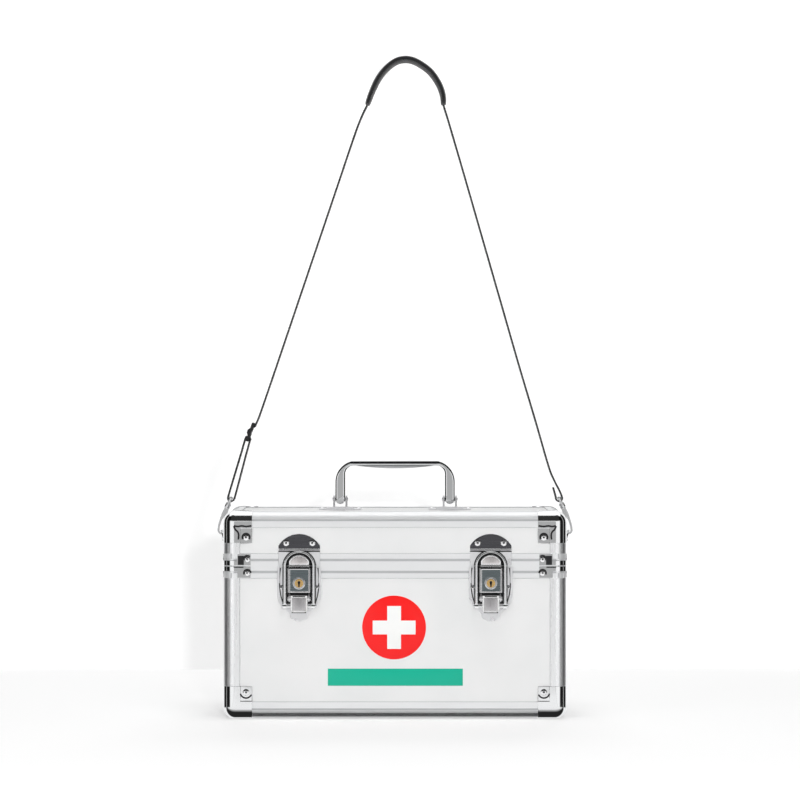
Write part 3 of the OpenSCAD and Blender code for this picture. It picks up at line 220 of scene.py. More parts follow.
@dataclass(frozen=True)
class LaminateBoard(Finish):
    """A sheet-faced board: a pale even skin with the faint orange peel of its press."""

    cloud_mm: float = 70
    peel_mm: float = 1.4
    peel_height_mm: float = 0.01
    gloss_swing: float = 0.04

    def shade(self) -> None:
        """Adds a cloudiness over the panel and the peel, drawn coarser so that it shows."""
        self.tint(self.noise(self.cloud_mm), "#E1E2E2", "#E7E7E7")
        peel = self.noise(self.peel_mm)
        self.relief(peel, self.peel_height_mm, 0.5)
        self.rough(peel, self.roughness - self.gloss_swing, self.roughness + self.gloss_swing)
        self.dress(Coat_Weight=0.15, Coat_Roughness=0.2)


@dataclass(frozen=True)
class DrawnMetal(Finish):
    """A metal with fine lines all one way, from its die or its brush."""

    metallic: float = 1.0
    grain: Grain = Grain.LEVEL
    line_mm: float = 0.8
    depth_mm: float = 0.006

    def shade(self) -> None:
        """Adds the lines, drawn about a millimetre apart so that they show, and a soft clouding."""
        lines = self.noise(self.line_mm, self.grain.value, 3.0)
        self.rough(lines, self.roughness * 0.75, self.roughness * 1.3)
        self.relief(lines, self.depth_mm, 0.6)


@dataclass(frozen=True)
class PressedChrome(Finish):
    """Bright plated steel pressed from sheet: a mirror that is never quite flat."""

    metallic: float = 1.0
    smudge_mm: float = 14
    wave_mm: float = 9.0
    wave_height_mm: float = 0.05

    def shade(self) -> None:
        """Adds the sheet's slow waves and a few handling smudges."""
        self.rough(self.noise(self.smudge_mm), self.roughness * 0.7, self.roughness * 1.8)
        self.relief(self.noise(self.wave_mm, detail=0.0), self.wave_height_mm, 0.6)


@dataclass(frozen=True)
class MouldedPlastic(Finish):
    """Moulded plastic: an even colour with the fine spark of its tool."""

    grit_mm: float = 0.7
    grit_height_mm: float = 0.012
    patch_mm: float = 20

    def shade(self) -> None:
        """Adds the eroded texture, drawn coarser so that it shows, and a slight unevenness of gloss."""
        self.relief(self.noise(self.grit_mm), self.grit_height_mm, 0.5)
        self.rough(self.noise(self.patch_mm), self.roughness - 0.05, self.roughness + 0.06)


@dataclass(frozen=True)
class ClosedCellFoam(Finish):
    """Skived closed-cell foam: dark, dry and full of small cut cells."""

    cell_mm: float = 1.5
    cell_depth_mm: float = 0.15

    def shade(self) -> None:
        """Adds the cells, drawn coarser so that they show."""
        cells = self.add("TexVoronoi", {"Vector": self.place(), "Scale": 1 / (self.cell_mm * MM)})
        self.relief(cells, self.cell_depth_mm, 0.7)
        self.tint(cells, "#26272A", "#34363A")


@dataclass(frozen=True)
class PrintedInk(Finish):
    """Screen-printed enamel on the panel: flat, solid and a little glossier than the board."""

    mark_mm: float = 1.0
    mark_height_mm: float = 0.006
    patch_mm: float = 12

    def shade(self) -> None:
        """Adds the ink's slight levelling marks, drawn coarser so that they show."""
        self.relief(self.noise(self.mark_mm), self.mark_height_mm, 0.5)
        self.rough(self.noise(self.patch_mm), self.roughness - 0.05, self.roughness + 0.05)


@dataclass(frozen=True)
class WovenWebbing(Finish):
    """Black polyester webbing: a tight twill with a thicker selvedge at each edge."""

    fold_mm: float = 6.25
    rib_mm: float = 1.6
    rib_share: float = 0.35
    warp_mm: float = 1.3
    warp_share: float = 0.15
    rib_height_mm: float = 0.25
    lit: str = "#2A2A2D"

    def shade(self) -> None:
        """Adds the ribs in a herringbone, from the ribbon's own UV map in metres."""
        uv = self.add("SeparateXYZ", (self.add("UVMap", uv_map="weave"),)).outputs
        across = self.add("Math", (uv["Y"], self.fold_mm * MM), operation="PINGPONG")
        slant = self.add("Math", (uv["X"], across), operation="ADD")
        ribs, warp = (
            self.add("Math", (self.add("Math", (way, 2 * math.pi / (pitch * MM)), operation="MULTIPLY"),),
                     operation="SINE")
            for way, pitch in ((slant, self.rib_mm), (uv["Y"], self.warp_mm)))
        base = self.add("Math", (warp, self.warp_share, 0.5), operation="MULTIPLY_ADD")
        weave = self.add("Math", (ribs, self.rib_share, base), operation="MULTIPLY_ADD")
        self.tint(weave, self.colour, self.lit, (0.1, 0.95))
        self.relief(weave, self.rib_height_mm, 0.8)
        self.dress(Sheen_Weight=0.25, Sheen_Roughness=0.4)


LAMINATE = LaminateBoard("faced_board_white", "#ECECED", 0.36)
RAIL_ALUMINIUM = DrawnMetal("anodised_aluminium_level", "#F4F5F6", 0.42, 0.55)
POST_ALUMINIUM = DrawnMetal("anodised_aluminium_upright", "#FAFBFC", 0.3, 0.72, grain=Grain.UPRIGHT)
# Painted shade: a darker aluminium for the lower half of the bottom rails' round.
SHADED_ALUMINIUM = DrawnMetal("anodised_aluminium_shaded_round", "#B4B5B7", 0.3, 0.75)
# Painted reflection: a darker aluminium for the outer part of the posts' round, where the reflection goes
# dark.
POST_EDGE_REFLECTION_ALUMINIUM = DrawnMetal("aluminium_painted_post_edge_reflection", "#B9BABC", 0.3, 0.8, grain=Grain.UPRIGHT)
# Painted shade: a darker aluminium for the floors of the rails' shallow channels.
CHANNEL_SHADE_ALUMINIUM = DrawnMetal("aluminium_painted_channel_shade", "#C9CACC", 0.5, 0.55)
# Painted shade: grey for the thin lines where the boards meet the rails and posts.
SEAM_SHADE = MouldedPlastic("painted_seam_shade", "#7F8183", 0.6)
CORNER_CHROME = PressedChrome("nickel_plated_pressed_steel", "#F1F2F3", 0.07)
LEAF_CHROME = PressedChrome("nickel_plated_hinge_steel", "#E6E7E8", 0.14, wave_mm=12.0)
HANDLE_CHROME = PressedChrome("chromed_diecast_zinc", "#F1F2F3", 0.06, wave_mm=18.0, wave_height_mm=0.03)
# Painted reflection: a dark chrome for the handle's rounded edges, where the reflection goes dark.
EDGE_REFLECTION_CHROME = PressedChrome("chrome_painted_edge_reflection", "#2E2F31", 0.08, wave_mm=18.0, wave_height_mm=0.02)
RIVET_STEEL = PressedChrome("bright_rivet_steel", "#FAFAFB", 0.16, wave_mm=3.0, wave_height_mm=0.01)
WIRE_STEEL = PressedChrome("plated_spring_wire", "#F6F7F8", 0.1, wave_mm=12.0, wave_height_mm=0.02)
BASE_STEEL = PressedChrome("plated_latch_base_steel", "#F2F2F4", 0.3, 0.75, wave_mm=11.0)
LEVER_PLATE = PressedChrome("plated_lever_steel", "#FFFFFF", 0.35, 0.6, wave_mm=11.0)
# Painted reflection: a dark steel for the catch plate's dome, where the reflection goes dark.
DOME_REFLECTION_STEEL = DrawnMetal("catch_steel_painted_dark_reflection", "#646468", 0.24, grain=Grain.ACROSS, line_mm=1.0)
NOSE_STEEL = DrawnMetal("satin_nose_steel", "#E4DFDF", 0.3, grain=Grain.UPRIGHT, line_mm=0.7)
LEVER_STEEL = DrawnMetal("satin_lever_steel", "#C6C4C6", 0.3, grain=Grain.UPRIGHT, line_mm=0.7)
HOUSING_STEEL = DrawnMetal("satin_lock_case_steel", "#788184", 0.28, line_mm=0.7)
LOCK_BRASS = DrawnMetal("turned_brass", "#FFD590", 0.2, line_mm=0.6)
FOAM = ClosedCellFoam("closed_cell_foam_black", "#2C2D30", 0.9)
CORNER_PLASTIC = MouldedPlastic("moulded_nylon_black", "#222325", 0.5)
BUCKLE_PLASTIC = MouldedPlastic("moulded_acetal_black", "#151516", 0.38)
TRAY_PLASTIC = MouldedPlastic("moulded_styrene_white", "#E9EBED", 0.32)
GRIP_PLASTIC = MouldedPlastic("moulded_grip_grey", "#A2A3A5", 0.4)
WEBBING = WovenWebbing("woven_polyester_black", "#0B0B0C", 0.62)
PAD_CLOTH = WovenWebbing("padded_oxford_black", "#0D0D0E", 0.7, rib_mm=2.2, warp_mm=2.2, lit="#29292C")
RED_INK = PrintedInk("printed_enamel_red", "#F5100F", 0.34)
GREEN_INK = PrintedInk("printed_enamel_green", "#00AF91", 0.34)
WHITE_INK = PrintedInk("printed_enamel_white", "#F3F3F2", 0.36)
# Painted shade: a near-black for the shade in dimples, creases, slots, gaps and the keyhole, and for the dark
# reflection on the catch's nose.
PAINTED_DARK = MouldedPlastic("shadowed_core", "#1B1B1D", 0.6)


# Modelling


def select(*pieces: Piece) -> None:
    """Leaves edit mode and makes objects the whole selection, with the first one active.

    Args:
        pieces: The objects, or none to deselect everything.
    """
    if bpy.context.object and bpy.context.object.mode != "OBJECT":
        bpy.ops.object.mode_set(mode="OBJECT")
    bpy.ops.object.select_all(action="DESELECT")
    for piece in pieces:
        piece.select_set(True)
        bpy.context.view_layer.objects.active = pieces[0]


def settle(piece: Piece) -> Piece:
    """Applies a piece's place, turn and scale to its mesh, and turns its faces outward.

    Args:
        piece: The object.

    Returns:
        The same object.
    """
    select(piece)
    bpy.ops.object.transform_apply(location=True, rotation=True, scale=True)
    bpy.ops.object.mode_set(mode="EDIT")
    bpy.ops.mesh.select_all(action="SELECT")
    bpy.ops.mesh.normals_make_consistent(inside=False)
    bpy.ops.object.mode_set(mode="OBJECT")
    return piece


def apply(piece: Piece, kind: str, **settings: object) -> None:
    """Adds a modifier and applies it.

    Args:
        piece: The object that it goes on.
        kind: The modifier's type.
        settings: Its properties.
    """
    select(piece)
    modifier = piece.modifiers.new(kind, kind)
    for key, value in settings.items():
        setattr(modifier, key, value)
    bpy.ops.object.modifier_apply(modifier=kind)


def bevelled(piece: Piece, width: float, segments: int = 2) -> Piece:
    """Breaks a piece's sharp edges by one width, in so many segments, and returns it."""
    apply(piece, "BEVEL", width=width, segments=segments, limit_method="ANGLE")
    return piece


def hand_over(piece: Piece, name: str, body: Body, finish: Finish) -> Piece:
    """Names and dresses a piece, and makes it ride on its body.

    Args:
        piece: The finished object.
        name: The piece's name.
        body: The body that carries it.
        finish: Its surface.

    Returns:
        The same object.
    """
    piece.name = piece.data.name = name
    piece.data.materials.clear()
    piece.data.materials.append(finish.material())
    select(piece)
    bpy.ops.object.shade_smooth_by_angle(angle=SMOOTH)
    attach(piece, body.value)
    log.info("made %s", name)
    return piece


def push_faces(piece: Piece, wanted: FaceTest, by: Point) -> None:
    """Extrudes the faces that a test accepts.

    Args:
        piece: The mesh object.
        wanted: A test of a face's centre and normal.
        by: How far they move.
    """
    select(piece)
    for part in (piece.data.vertices, piece.data.edges, piece.data.polygons):
        part.foreach_set("select", [False] * len(part))
    for face in piece.data.polygons:
        face.select = wanted(face.center, face.normal)
    bpy.ops.object.mode_set(mode="EDIT")
    bpy.ops.mesh.select_mode(type="FACE")
    bpy.ops.mesh.extrude_region_move(TRANSFORM_OT_translate={"value": by})
    bpy.ops.object.mode_set(mode="OBJECT")


def joined(pieces: list[Piece]) -> Piece:
    """Joins several objects into the first one.

    Args:
        pieces: The objects.

    Returns:
        The first one.
    """
    select(*pieces)
    bpy.ops.object.join()
    return pieces[0]


def round_edges(piece: Piece, wanted: Callable[[Vector], bool], width: float, segments: int) -> None:
    """Rounds the sharp edges whose two ends both pass a test.

    Args:
        piece: The mesh object.
        wanted: A test of a point.
        width: The width of the round.
        segments: The segments across it.
    """
    select(piece)
    bpy.ops.object.mode_set(mode="EDIT")
    bpy.ops.mesh.select_mode(type="EDGE")
    bpy.ops.mesh.select_all(action="DESELECT")
    bpy.ops.mesh.edges_select_sharp(sharpness=SHARP)
    bpy.ops.object.mode_set(mode="OBJECT")
    mesh = piece.data
    for edge in mesh.edges:
        edge.select = edge.select and all(wanted(mesh.vertices[i].co) for i in edge.vertices)
    bpy.ops.object.mode_set(mode="EDIT")
    bpy.ops.mesh.bevel(offset=width, segments=segments, affect="EDGES", clamp_overlap=False)
    bpy.ops.object.mode_set(mode="OBJECT")


def face_y(name: str, x: float, z: float) -> float:
    """How far forward a CAD node's front face is at one place.

    Args:
        name: The CAD node.
        x: The place across.
        z: The height.

    Returns:
        The y of the first surface from the front.
    """
    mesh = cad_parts[name].data
    faces = BVHTree.FromPolygons([v.co for v in mesh.vertices], [tuple(f.vertices) for f in mesh.polygons])
    at = faces.ray_cast(Vector((x, -1, z)), Vector((0, 1, 0)))[0]
    return at.y if at else -CASE.depth / 2


def top_of(name: str) -> float:
    """The height of a CAD node's highest point."""
    return max(v.co.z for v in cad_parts[name].data.vertices)


def refined(name: str, body: Body, finish: Finish, edge_mm: float = 0.0, rounds: int = 2,
            accents: tuple[tuple[Finish, FaceTest], ...] = (),
            rounded: tuple = ()) -> Piece:
    """Stands a merged copy in for a CAD node, with its sharp edges broken as on the real part.

    Args:
        name: The CAD node.
        body: The body that carries it.
        finish: Its surface.
        edge_mm: The width of the broken edge, or 0 to leave the edges.
        rounds: The segments across that edge.
        accents: Further surfaces, each with a test of a face's centre and normal.
        rounded: Edges with a wide round, each as a test of a point, a width and its segments.

    Returns:
        The copy.
    """
    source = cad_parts[name]
    source.data.materials.clear()
    source.data.materials.append(finish.material())
    piece = bpy.data.objects.new(name + "_finished", source.data.copy())
    piece.matrix_world = source.matrix_world.copy()
    bpy.context.scene.collection.objects.link(piece)
    select(piece)
    bpy.ops.object.transform_apply(location=True, rotation=True, scale=True)
    bpy.ops.object.mode_set(mode="EDIT")
    bpy.ops.mesh.select_all(action="SELECT")
    bpy.ops.mesh.remove_doubles(threshold=HAIR / 10)
    bpy.ops.mesh.normals_make_consistent(inside=False)
    bpy.ops.mesh.dissolve_limited(angle_limit=FLAT)
    bpy.ops.object.mode_set(mode="OBJECT")
    if edge_mm:
        apply(piece, "BEVEL", width=edge_mm * MM, segments=rounds, limit_method="ANGLE",
              angle_limit=SHARP, use_clamp_overlap=False)
    for test, width, segments in rounded:
        round_edges(piece, test, width, segments)
    hand_over(piece, name + "_finished", body, finish)
    apply(piece, "WEIGHTED_NORMAL", mode="FACE_AREA", weight=100, keep_sharp=True)
    for index, (accent, test) in enumerate(accents, 1):
        piece.data.materials.append(accent.material())
        for face in piece.data.polygons:
            if test(face.center, face.normal):
                face.material_index = index
    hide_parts(name)
    return piece


def plain(names: tuple[str, ...], finish: Finish) -> None:
    """Gives CAD nodes their finish as they are.

    Args:
        names: The nodes.
        finish: Their surface.
    """
    for name in names:
        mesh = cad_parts[name].data
        mesh.materials.clear()
        mesh.materials.append(finish.material())
    log.info("dressed %s with %s", ", ".join(names), finish.name)


def box(size: Point, at: Point) -> Piece:
    """Adds a sharp-edged block.

    Args:
        size: Its size along X, Y and Z.
        at: Its middle.

    Returns:
        The block.
    """
    select()
    bpy.ops.mesh.primitive_cube_add(size=1, location=at)
    bpy.context.object.scale = size
    return settle(bpy.context.object)


def block(size: Point, at: Point, edge: float, segments: int = 3) -> Piece:
    """Adds a block of one size round its middle, with its edges broken by a width."""
    return bevelled(box(size, at), edge, segments)


def cylinder(radius: float, length: float, at: Point, turn: Point = (QUARTER, 0, 0),
             vertices: int = 72) -> Piece:
    """Adds a round bar or disc, which lies along Y unless it is turned another way.

    Args:
        radius: Its radius.
        length: Its length.
        at: Its middle.
        turn: Its turn from upright.
        vertices: The points round it.

    Returns:
        The bar.
    """
    select()
    bpy.ops.mesh.primitive_cylinder_add(vertices=vertices, radius=radius, depth=length, location=at,
                                        rotation=turn)
    return settle(bpy.context.object)


def tube(points: list[Point], radius: float) -> Piece:
    """Adds a thin round line laid through points, made a mesh.

    Args:
        points: The points.
        radius: The line's radius.

    Returns:
        The line.
    """
    curve = bpy.data.curves.new("line", "CURVE")
    curve.dimensions, curve.bevel_depth, curve.bevel_resolution, curve.use_fill_caps = "3D", radius, 2, True
    spline = curve.splines.new("NURBS")
    spline.points.add(len(points) - 1)
    for place, point in zip(spline.points, points):
        place.co = (*point, 1.0)
    spline.order_u, spline.use_endpoint_u, spline.resolution_u = 3, True, 5
    piece = bpy.data.objects.new("line", curve)
    bpy.context.scene.collection.objects.link(piece)
    select(piece)
    bpy.ops.object.convert(target="MESH")
    return settle(bpy.context.object)


def cut(piece: Piece, at: Point, normal: Point) -> None:
    """Cuts away what lies beyond a plane, and closes the cut.

    Args:
        piece: The closed mesh.
        at: A point of the plane.
        normal: The side that goes.
    """
    select(piece)
    bpy.ops.object.mode_set(mode="EDIT")
    bpy.ops.mesh.select_all(action="SELECT")
    bpy.ops.mesh.bisect(plane_co=at, plane_no=normal, use_fill=True, clear_outer=True)
    bpy.ops.object.mode_set(mode="OBJECT")


# The case's own sizes, as the CAD has them


@dataclass(frozen=True)
class CaseSizes:
    """The measures of the case that the dressing pieces are set against."""

    width: float = 0.360
    depth: float = 0.220
    parting: float = 0.1606
    top: float = 0.218
    base: float = 0.0008
    skin: float = 0.001
    latch_x: float = 0.1005

    @property
    def front(self) -> float:
        """The face of the front panels."""
        return -self.depth / 2 + self.skin


CASE = CaseSizes()


@dataclass
class Casework:
    """The boards, the aluminium edges, their steel corners and rivets, and the foam inside.

    The painted crease shades and their arcs and dashes are in millimetres, from the case's side and
    from the lid's top or the body's foot. An arc is its middle, radius, and first and last angle,
    and a dash is its middle, width and height.
    """

    cap_edge_mm: float = 0.4
    plate_edge_mm: float = 0.35
    rail_width: float = 0.017
    rim_height: float = 0.0129
    facing: float = 0.9
    channel: Pair = (0.0003, 0.0007)
    under_normal: Pair = (-0.97, -0.5)
    aside_normal: Pair = (0.62, 0.985)
    forward_normal: float = 0.15
    seam_shade_size: Pair = (0.0005, 0.0006)
    crease_radius: float = 0.00105
    crease_out: float = 0.0006
    crease_level: tuple = ((11.0, 15.2), (15.0, 16.4), (19.0, 15.0), (24.0, 16.4), (29.4, 15.2))
    crease_upright: tuple = ((11.0, 15.4), (11.8, 19.0), (15.0, 21.2), (16.4, 25.0), (15.6, 29.6))
    lid_arcs: tuple = ((23.7, 27.3, 4.2, 150, 390), (25.0, 50.1, 3.8, 165, 320))
    body_arcs: tuple = ((23.7, 27.3, 6.2, 195, 335), (25.0, 152.5, 3.8, 0, 205))
    arc_width: float = 0.0008
    arc_steps: int = 8
    lid_dash: tuple[float, ...] = (18.3, 51.5, 6.3, 9.6)
    body_dash: tuple[float, ...] = (15.9, 158.6, 10.2, 1.4)
    dash_deep: float = 0.0007
    plate_probe: float = 0.020
    dimple_area_mm2: Pair = (1.4, 2.4)
    dimple_sides: int = 8

    def build(self) -> None:
        """Dresses the whole shell, body and lid."""
        # Painted shade on the rails' channel floors and under the bottom rails, and a painted dark reflection
        # on the posts' outer rounds.
        sunk, under, aside = ((CHANNEL_SHADE_ALUMINIUM, self.sunk), (SHADED_ALUMINIUM, self.turned_down),
                              (POST_EDGE_REFLECTION_ALUMINIUM, self.turned_aside))
        for body, prefix, rails, caps, flat in (
                (Body.CASE, "body", "body_bottom_rails", "bottom_corner_caps", "floor"),
                (Body.LID, "lid", "lid_top_rails", "lid_corner_caps", "top")):
            boards = ("front_panel", "back_panel", f"{flat}_panel", "side_panels")
            plain(tuple(f"{prefix}_{board}" for board in boards), LAMINATE)
            for name, finish, accents in ((rails, RAIL_ALUMINIUM, (sunk, under)),
                                          (f"{prefix}_corner_posts", POST_ALUMINIUM, (aside,)),
                                          (f"{prefix}_rim", RAIL_ALUMINIUM, (sunk,))):
                refined(name, body, finish, accents=accents)
            refined(caps, body, CORNER_CHROME, self.cap_edge_mm, 3)
            refined(f"{prefix}_corner_plates", body, CORNER_CHROME, self.plate_edge_mm)
            self.rivets(f"{prefix}_rivets", body)
            plain((f"{prefix}_corner_joints",), CORNER_PLASTIC)
            plain((f"{prefix}_liner",), FOAM)
            self.seam_shades(prefix, body)
            self.crease_shades(prefix, body)

    def sunk(self, centre: Vector, normal: Vector) -> bool:
        """Whether a face is the floor of a shallow channel in a rail, which gets a painted shade."""
        depths = (CASE.width / 2 - abs(centre.x), CASE.depth / 2 - abs(centre.y), CASE.top - centre.z)
        return any(abs(way) > self.facing and self.channel[0] < depth < self.channel[1]
                   for way, depth in zip(normal, depths))

    def turned_down(self, centre: Vector, normal: Vector) -> bool:
        """Whether a face lies on the lower half of a bottom rail's round, which gets a painted shade."""
        return centre.z < self.rail_width and self.under_normal[0] < normal.z < self.under_normal[1]

    def turned_aside(self, centre: Vector, normal: Vector) -> bool:
        """Whether a face lies on the outer part of a post's round, which gets a painted dark reflection."""
        low, high = self.aside_normal
        return low < abs(normal.x) < high and abs(normal.y) > self.forward_normal

    def level(self, lid: bool, v: float) -> float:
        """The height of a place v millimetres below the lid's top or above the body's foot."""
        return CASE.top - v * MM if lid else CASE.base + v * MM

    def seam_shades(self, prefix: str, body: Body) -> None:
        """Grey lines of painted shade along the inner edge of every rail and post, round each board.

        Args:
            prefix: "body" or "lid".
            body: The body that carries it.
        """
        low = CASE.base + self.rail_width if body is Body.CASE else CASE.parting + self.rim_height
        high = CASE.parting - self.rim_height if body is Body.CASE else CASE.top - self.rail_width
        wide, proud = self.seam_shade_size
        across, deep = CASE.width / 2 - self.rail_width, CASE.depth / 2 - self.rail_width
        tall, middle, roof = high - low, (low + high) / 2, CASE.top - CASE.skin
        lines = []
        for side in (-1, 1):
            y, x = side * (CASE.depth / 2 - CASE.skin), side * (CASE.width / 2 - CASE.skin)
            lines += [((2 * across, proud, wide), (0, y, z)) for z in (low, high)]
            lines += [((wide, proud, tall), (end * across, y, middle)) for end in (-1, 1)]
            lines += [((proud, 2 * deep, wide), (x, 0, z)) for z in (low, high)]
            lines += [((proud, wide, tall), (x, end * deep, middle)) for end in (-1, 1)]
            if body is Body.LID:
                lines += [((2 * across, wide, proud), (0, side * deep, roof)),
                          ((wide, 2 * deep, proud), (side * across, 0, roof))]
        piece = joined([block(size, at, HAIR, 1) for size, at in lines])
        hand_over(piece, f"{prefix}_seam_shade_lines", body, SEAM_SHADE)

    def crease_shades(self, prefix: str, body: Body) -> None:
        """Painted shade and dark reflection in the steel corners' creases: their steps, and the sunk rings
        round the rivets.

        Args:
            prefix: "body" or "lid".
            body: The body that carries them.
        """
        lid = body is Body.LID
        routes = [(route, self.crease_radius) for route in (self.crease_level, self.crease_upright) if lid]
        for u, v, radius, first, last in self.lid_arcs if lid else self.body_arcs:
            turns = [math.radians(first + (last - first) * i / self.arc_steps)
                     for i in range(self.arc_steps + 1)]
            routes.append(([(u + radius * math.cos(a), v + radius * math.sin(a)) for a in turns],
                           self.arc_width))
        u, v, wide, high = self.lid_dash if lid else self.body_dash
        plate = -face_y(f"{prefix}_corner_plates", self.plate_probe - CASE.width / 2, self.level(lid, v))
        lines = []
        for side, face in ((-1, -1), (-1, 1), (1, -1), (1, 1)):
            y = face * (CASE.depth / 2 + self.crease_out)
            for route, radius in routes:
                lines.append(tube([(side * (CASE.width / 2 - a * MM), y, self.level(lid, b))
                                   for a, b in route], radius))
            lines.append(block((wide * MM, self.dash_deep, high * MM),
                               (side * (CASE.width / 2 - u * MM), face * plate, self.level(lid, v)), 2 * HAIR))
        hand_over(joined(lines), f"{prefix}_corner_crease_shades", body, PAINTED_DARK)

    def rivets(self, name: str, body: Body) -> None:
        """Rivets with painted shade in each dimple.

        Args:
            name: The CAD node of the rivets.
            body: The body that carries them.
        """
        low, high = (area * MM * MM for area in self.dimple_area_mm2)
        piece = refined(name, body, RIVET_STEEL)
        piece.data.materials.append(PAINTED_DARK.material())
        for face in piece.data.polygons:
            if low < face.area < high and len(face.vertices) > self.dimple_sides:
                face.material_index = 1


@dataclass(frozen=True)
class Bar:
    """A small bar on a latch: its size, its place before the latch's middle and its broken edge."""

    size: Point
    y: float
    z: float
    edge: float

    def at(self, x: float) -> Piece:
        """Makes the bar on the latch whose middle is at x."""
        return block(self.size, (x, self.y, self.z), self.edge)


@dataclass
class Latches:
    """The two key-locked draw latches.

    The lock's face and the dome are a place and the normal that their faces turn beyond, and the
    dome's faces get a painted dark reflection. The lock's core, which gets painted shade, is a
    radius and a y, and the dark nose, which gets painted shade and dark reflection, is a y and a z.
    A ledge is its length, radius, y and z. A nose face is its name, radius, half width, its top
    above the nose's middle, how far it stands out, and its finish. The case shade, a dark sheet of
    painted shade round the lock case, is its half width, foot and head. A probe is where a plate's
    own face is measured. The rim shade line is in millimetres.
    """

    lever_panel: Bar = Bar((0.0143, 0.0005, 0.0136), -0.1203, 0.1207, 0.0004)
    lever_slot_shade: Bar = Bar((0.0128, 0.0004, 0.0011), -0.1202, 0.1288, 0.00012)
    lever_shadow_line: Bar = Bar((0.0150, 0.0006, 0.0010), -0.1210, 0.1122, 0.0002)
    lock_seam_shade: Bar = Bar((0.0224, 0.0008, 0.0014), -0.1211, 0.1584, 0.0002)
    key_slot_shade: Bar = Bar((0.0015, 0.0003, 0.0046), -0.12188, 0.1414, 0.00008)
    keyhole_radius: float = 0.0014
    keyhole_z: float = 0.1439
    lock_z: float = 0.1429
    lock_core: Pair = (0.0042, -0.1214)
    lock_face: Pair = (-0.1205, -0.99)
    ledge_z: float = 0.1779
    ledges: tuple = ((0.0436, 0.0011, -0.1108, 0.1779), (0.0218, 0.0006, -0.1196, 0.1610))
    dome: Pair = (0.1775, -0.3)
    dark_nose: Pair = (-0.1125, 0.1749)
    ledge_shadow_size: Point = (0.0436, 0.0010, 0.0013)
    ledge_shadow_z: float = 0.1761
    nose_at: Pair = (-0.1196, 0.1601)
    nose_deep: float = 0.0012
    nose_faces: tuple = (("nose_rim", 0.0121, 0.0105, 0.0020, 0.0, RIVET_STEEL),
                         ("nose_face", 0.0107, 0.0090, 0.0031, 0.0005, NOSE_STEEL))
    case_shade: Point = (0.0176, 0.1208, 0.1605)
    skin: float = 0.0008
    arch_shadow_radius: float = 0.0178
    wire_arch: float = 0.0166
    plate_probe: float = 0.019
    arch_shadow_probe_z: float = 0.166
    rim_shade_radius: float = 0.0006
    rim_shade_line: tuple = ((19.6, 158.6), (20.7, 151.0), (20.7, 143.0), (20.2, 135.0), (18.8, 126.7),
                       (16.2, 120.0))

    def build(self) -> None:
        """Dresses the CAD parts, and adds the fine forms of their faces and the dark pieces of painted shade.
        """
        refined("latch_bases", Body.CASE, BASE_STEEL, 0.5, 3)
        refined("lock_housings", Body.CASE, RIVET_STEEL, 0.9, 4, (
            (HOUSING_STEEL, lambda c, n: c.y < self.lock_face[0] and n.y < self.lock_face[1]),))
        refined("catch_plates", Body.LID, BASE_STEEL, 0.5, 3, (
            # The dome above the ledge gets a painted dark reflection.
            (DOME_REFLECTION_STEEL, lambda c, n: c.z > self.dome[0] and n.y < self.dome[1]),
            # The nose's body gets painted shade and dark reflection.
            (PAINTED_DARK, lambda c, n: c.y < self.dark_nose[0] and c.z < self.dark_nose[1])))
        refined("lever_pins", Body.CASE, RIVET_STEEL, 0.3)
        Casework().rivets("latch_rivets", Body.CASE)
        radius, deep = self.lock_core
        for side, x in (("left", -CASE.latch_x), ("right", CASE.latch_x)):
            lever, bail, lock = Body(f"lever_{side}"), Body(f"bail_{side}"), Body(f"lock_{side}")
            # The faces inside the lock's core get painted shade.
            refined(f"lock_cylinder_{side}", lock, LOCK_BRASS, 0.35, 2, (
                (PAINTED_DARK, lambda c, n, x=x: math.hypot(c.x - x, c.z - self.lock_z) < radius and c.y > deep),))
            refined(f"latch_lever_{side}", lever, LEVER_PLATE, 0.45, 3)
            refined(f"bail_pin_{side}", bail, WIRE_STEEL, 0.3)
            refined(f"latch_bail_{side}", bail, WIRE_STEEL)
            hand_over(self.lever_panel.at(x), f"lever_face_{side}", lever, LEVER_STEEL)
            # A dark bar painted as the shade of the lever's slot, and a painted shadow under its lower edge.
            slot_shades = joined([self.lever_slot_shade.at(x), self.lever_shadow_line.at(x)])
            hand_over(slot_shades, f"lever_shades_{side}", lever, PAINTED_DARK)
            self.base_face(side, x)
            self.catch_face(side, x)
            # Painted shade in the keyhole: a dark disc and bar.
            hole = cylinder(self.keyhole_radius, self.key_slot_shade.size[1],
                            (x, self.key_slot_shade.y, self.keyhole_z), vertices=32)
            hand_over(joined([hole, self.key_slot_shade.at(x)]), f"key_slot_shade_{side}", lock, PAINTED_DARK)

    def base_face(self, side: str, x: float) -> None:
        """Painted shade: a dark sheet round the lock case, a line along its top seam, and lines round the
        base.

        Args:
            side: "left" or "right".
            x: The latch's middle.
        """
        half, low, high = self.case_shade
        y, z = face_y("latch_bases", x + half - MM, (low + high) / 2), (low + high) / 2
        case_shade = block((2 * half, self.skin, high - low), (x, y, z), 3 * HAIR)
        lines = [tube([(x + way * u * MM, y, v * MM) for u, v in self.rim_shade_line], self.rim_shade_radius)
                 for way in (-1, 1)]
        hand_over(joined([case_shade, self.lock_seam_shade.at(x), *lines]), f"latch_shades_{side}", Body.CASE,
                  PAINTED_DARK)

    def catch_face(self, side: str, x: float) -> None:
        """The catch plate's ledge, painted shadows under it and under the wire's arch, and its nose's pressed
        face.

        Args:
            side: "left" or "right".
            x: The latch's middle.
        """
        bars = [bevelled(cylinder(radius, length, (x, y, z), (0, QUARTER, 0), 24), 3 * HAIR)
                for length, radius, y, z in self.ledges]
        hand_over(joined(bars), f"catch_ledge_{side}", Body.LID, RIVET_STEEL)
        beside = x + self.plate_probe
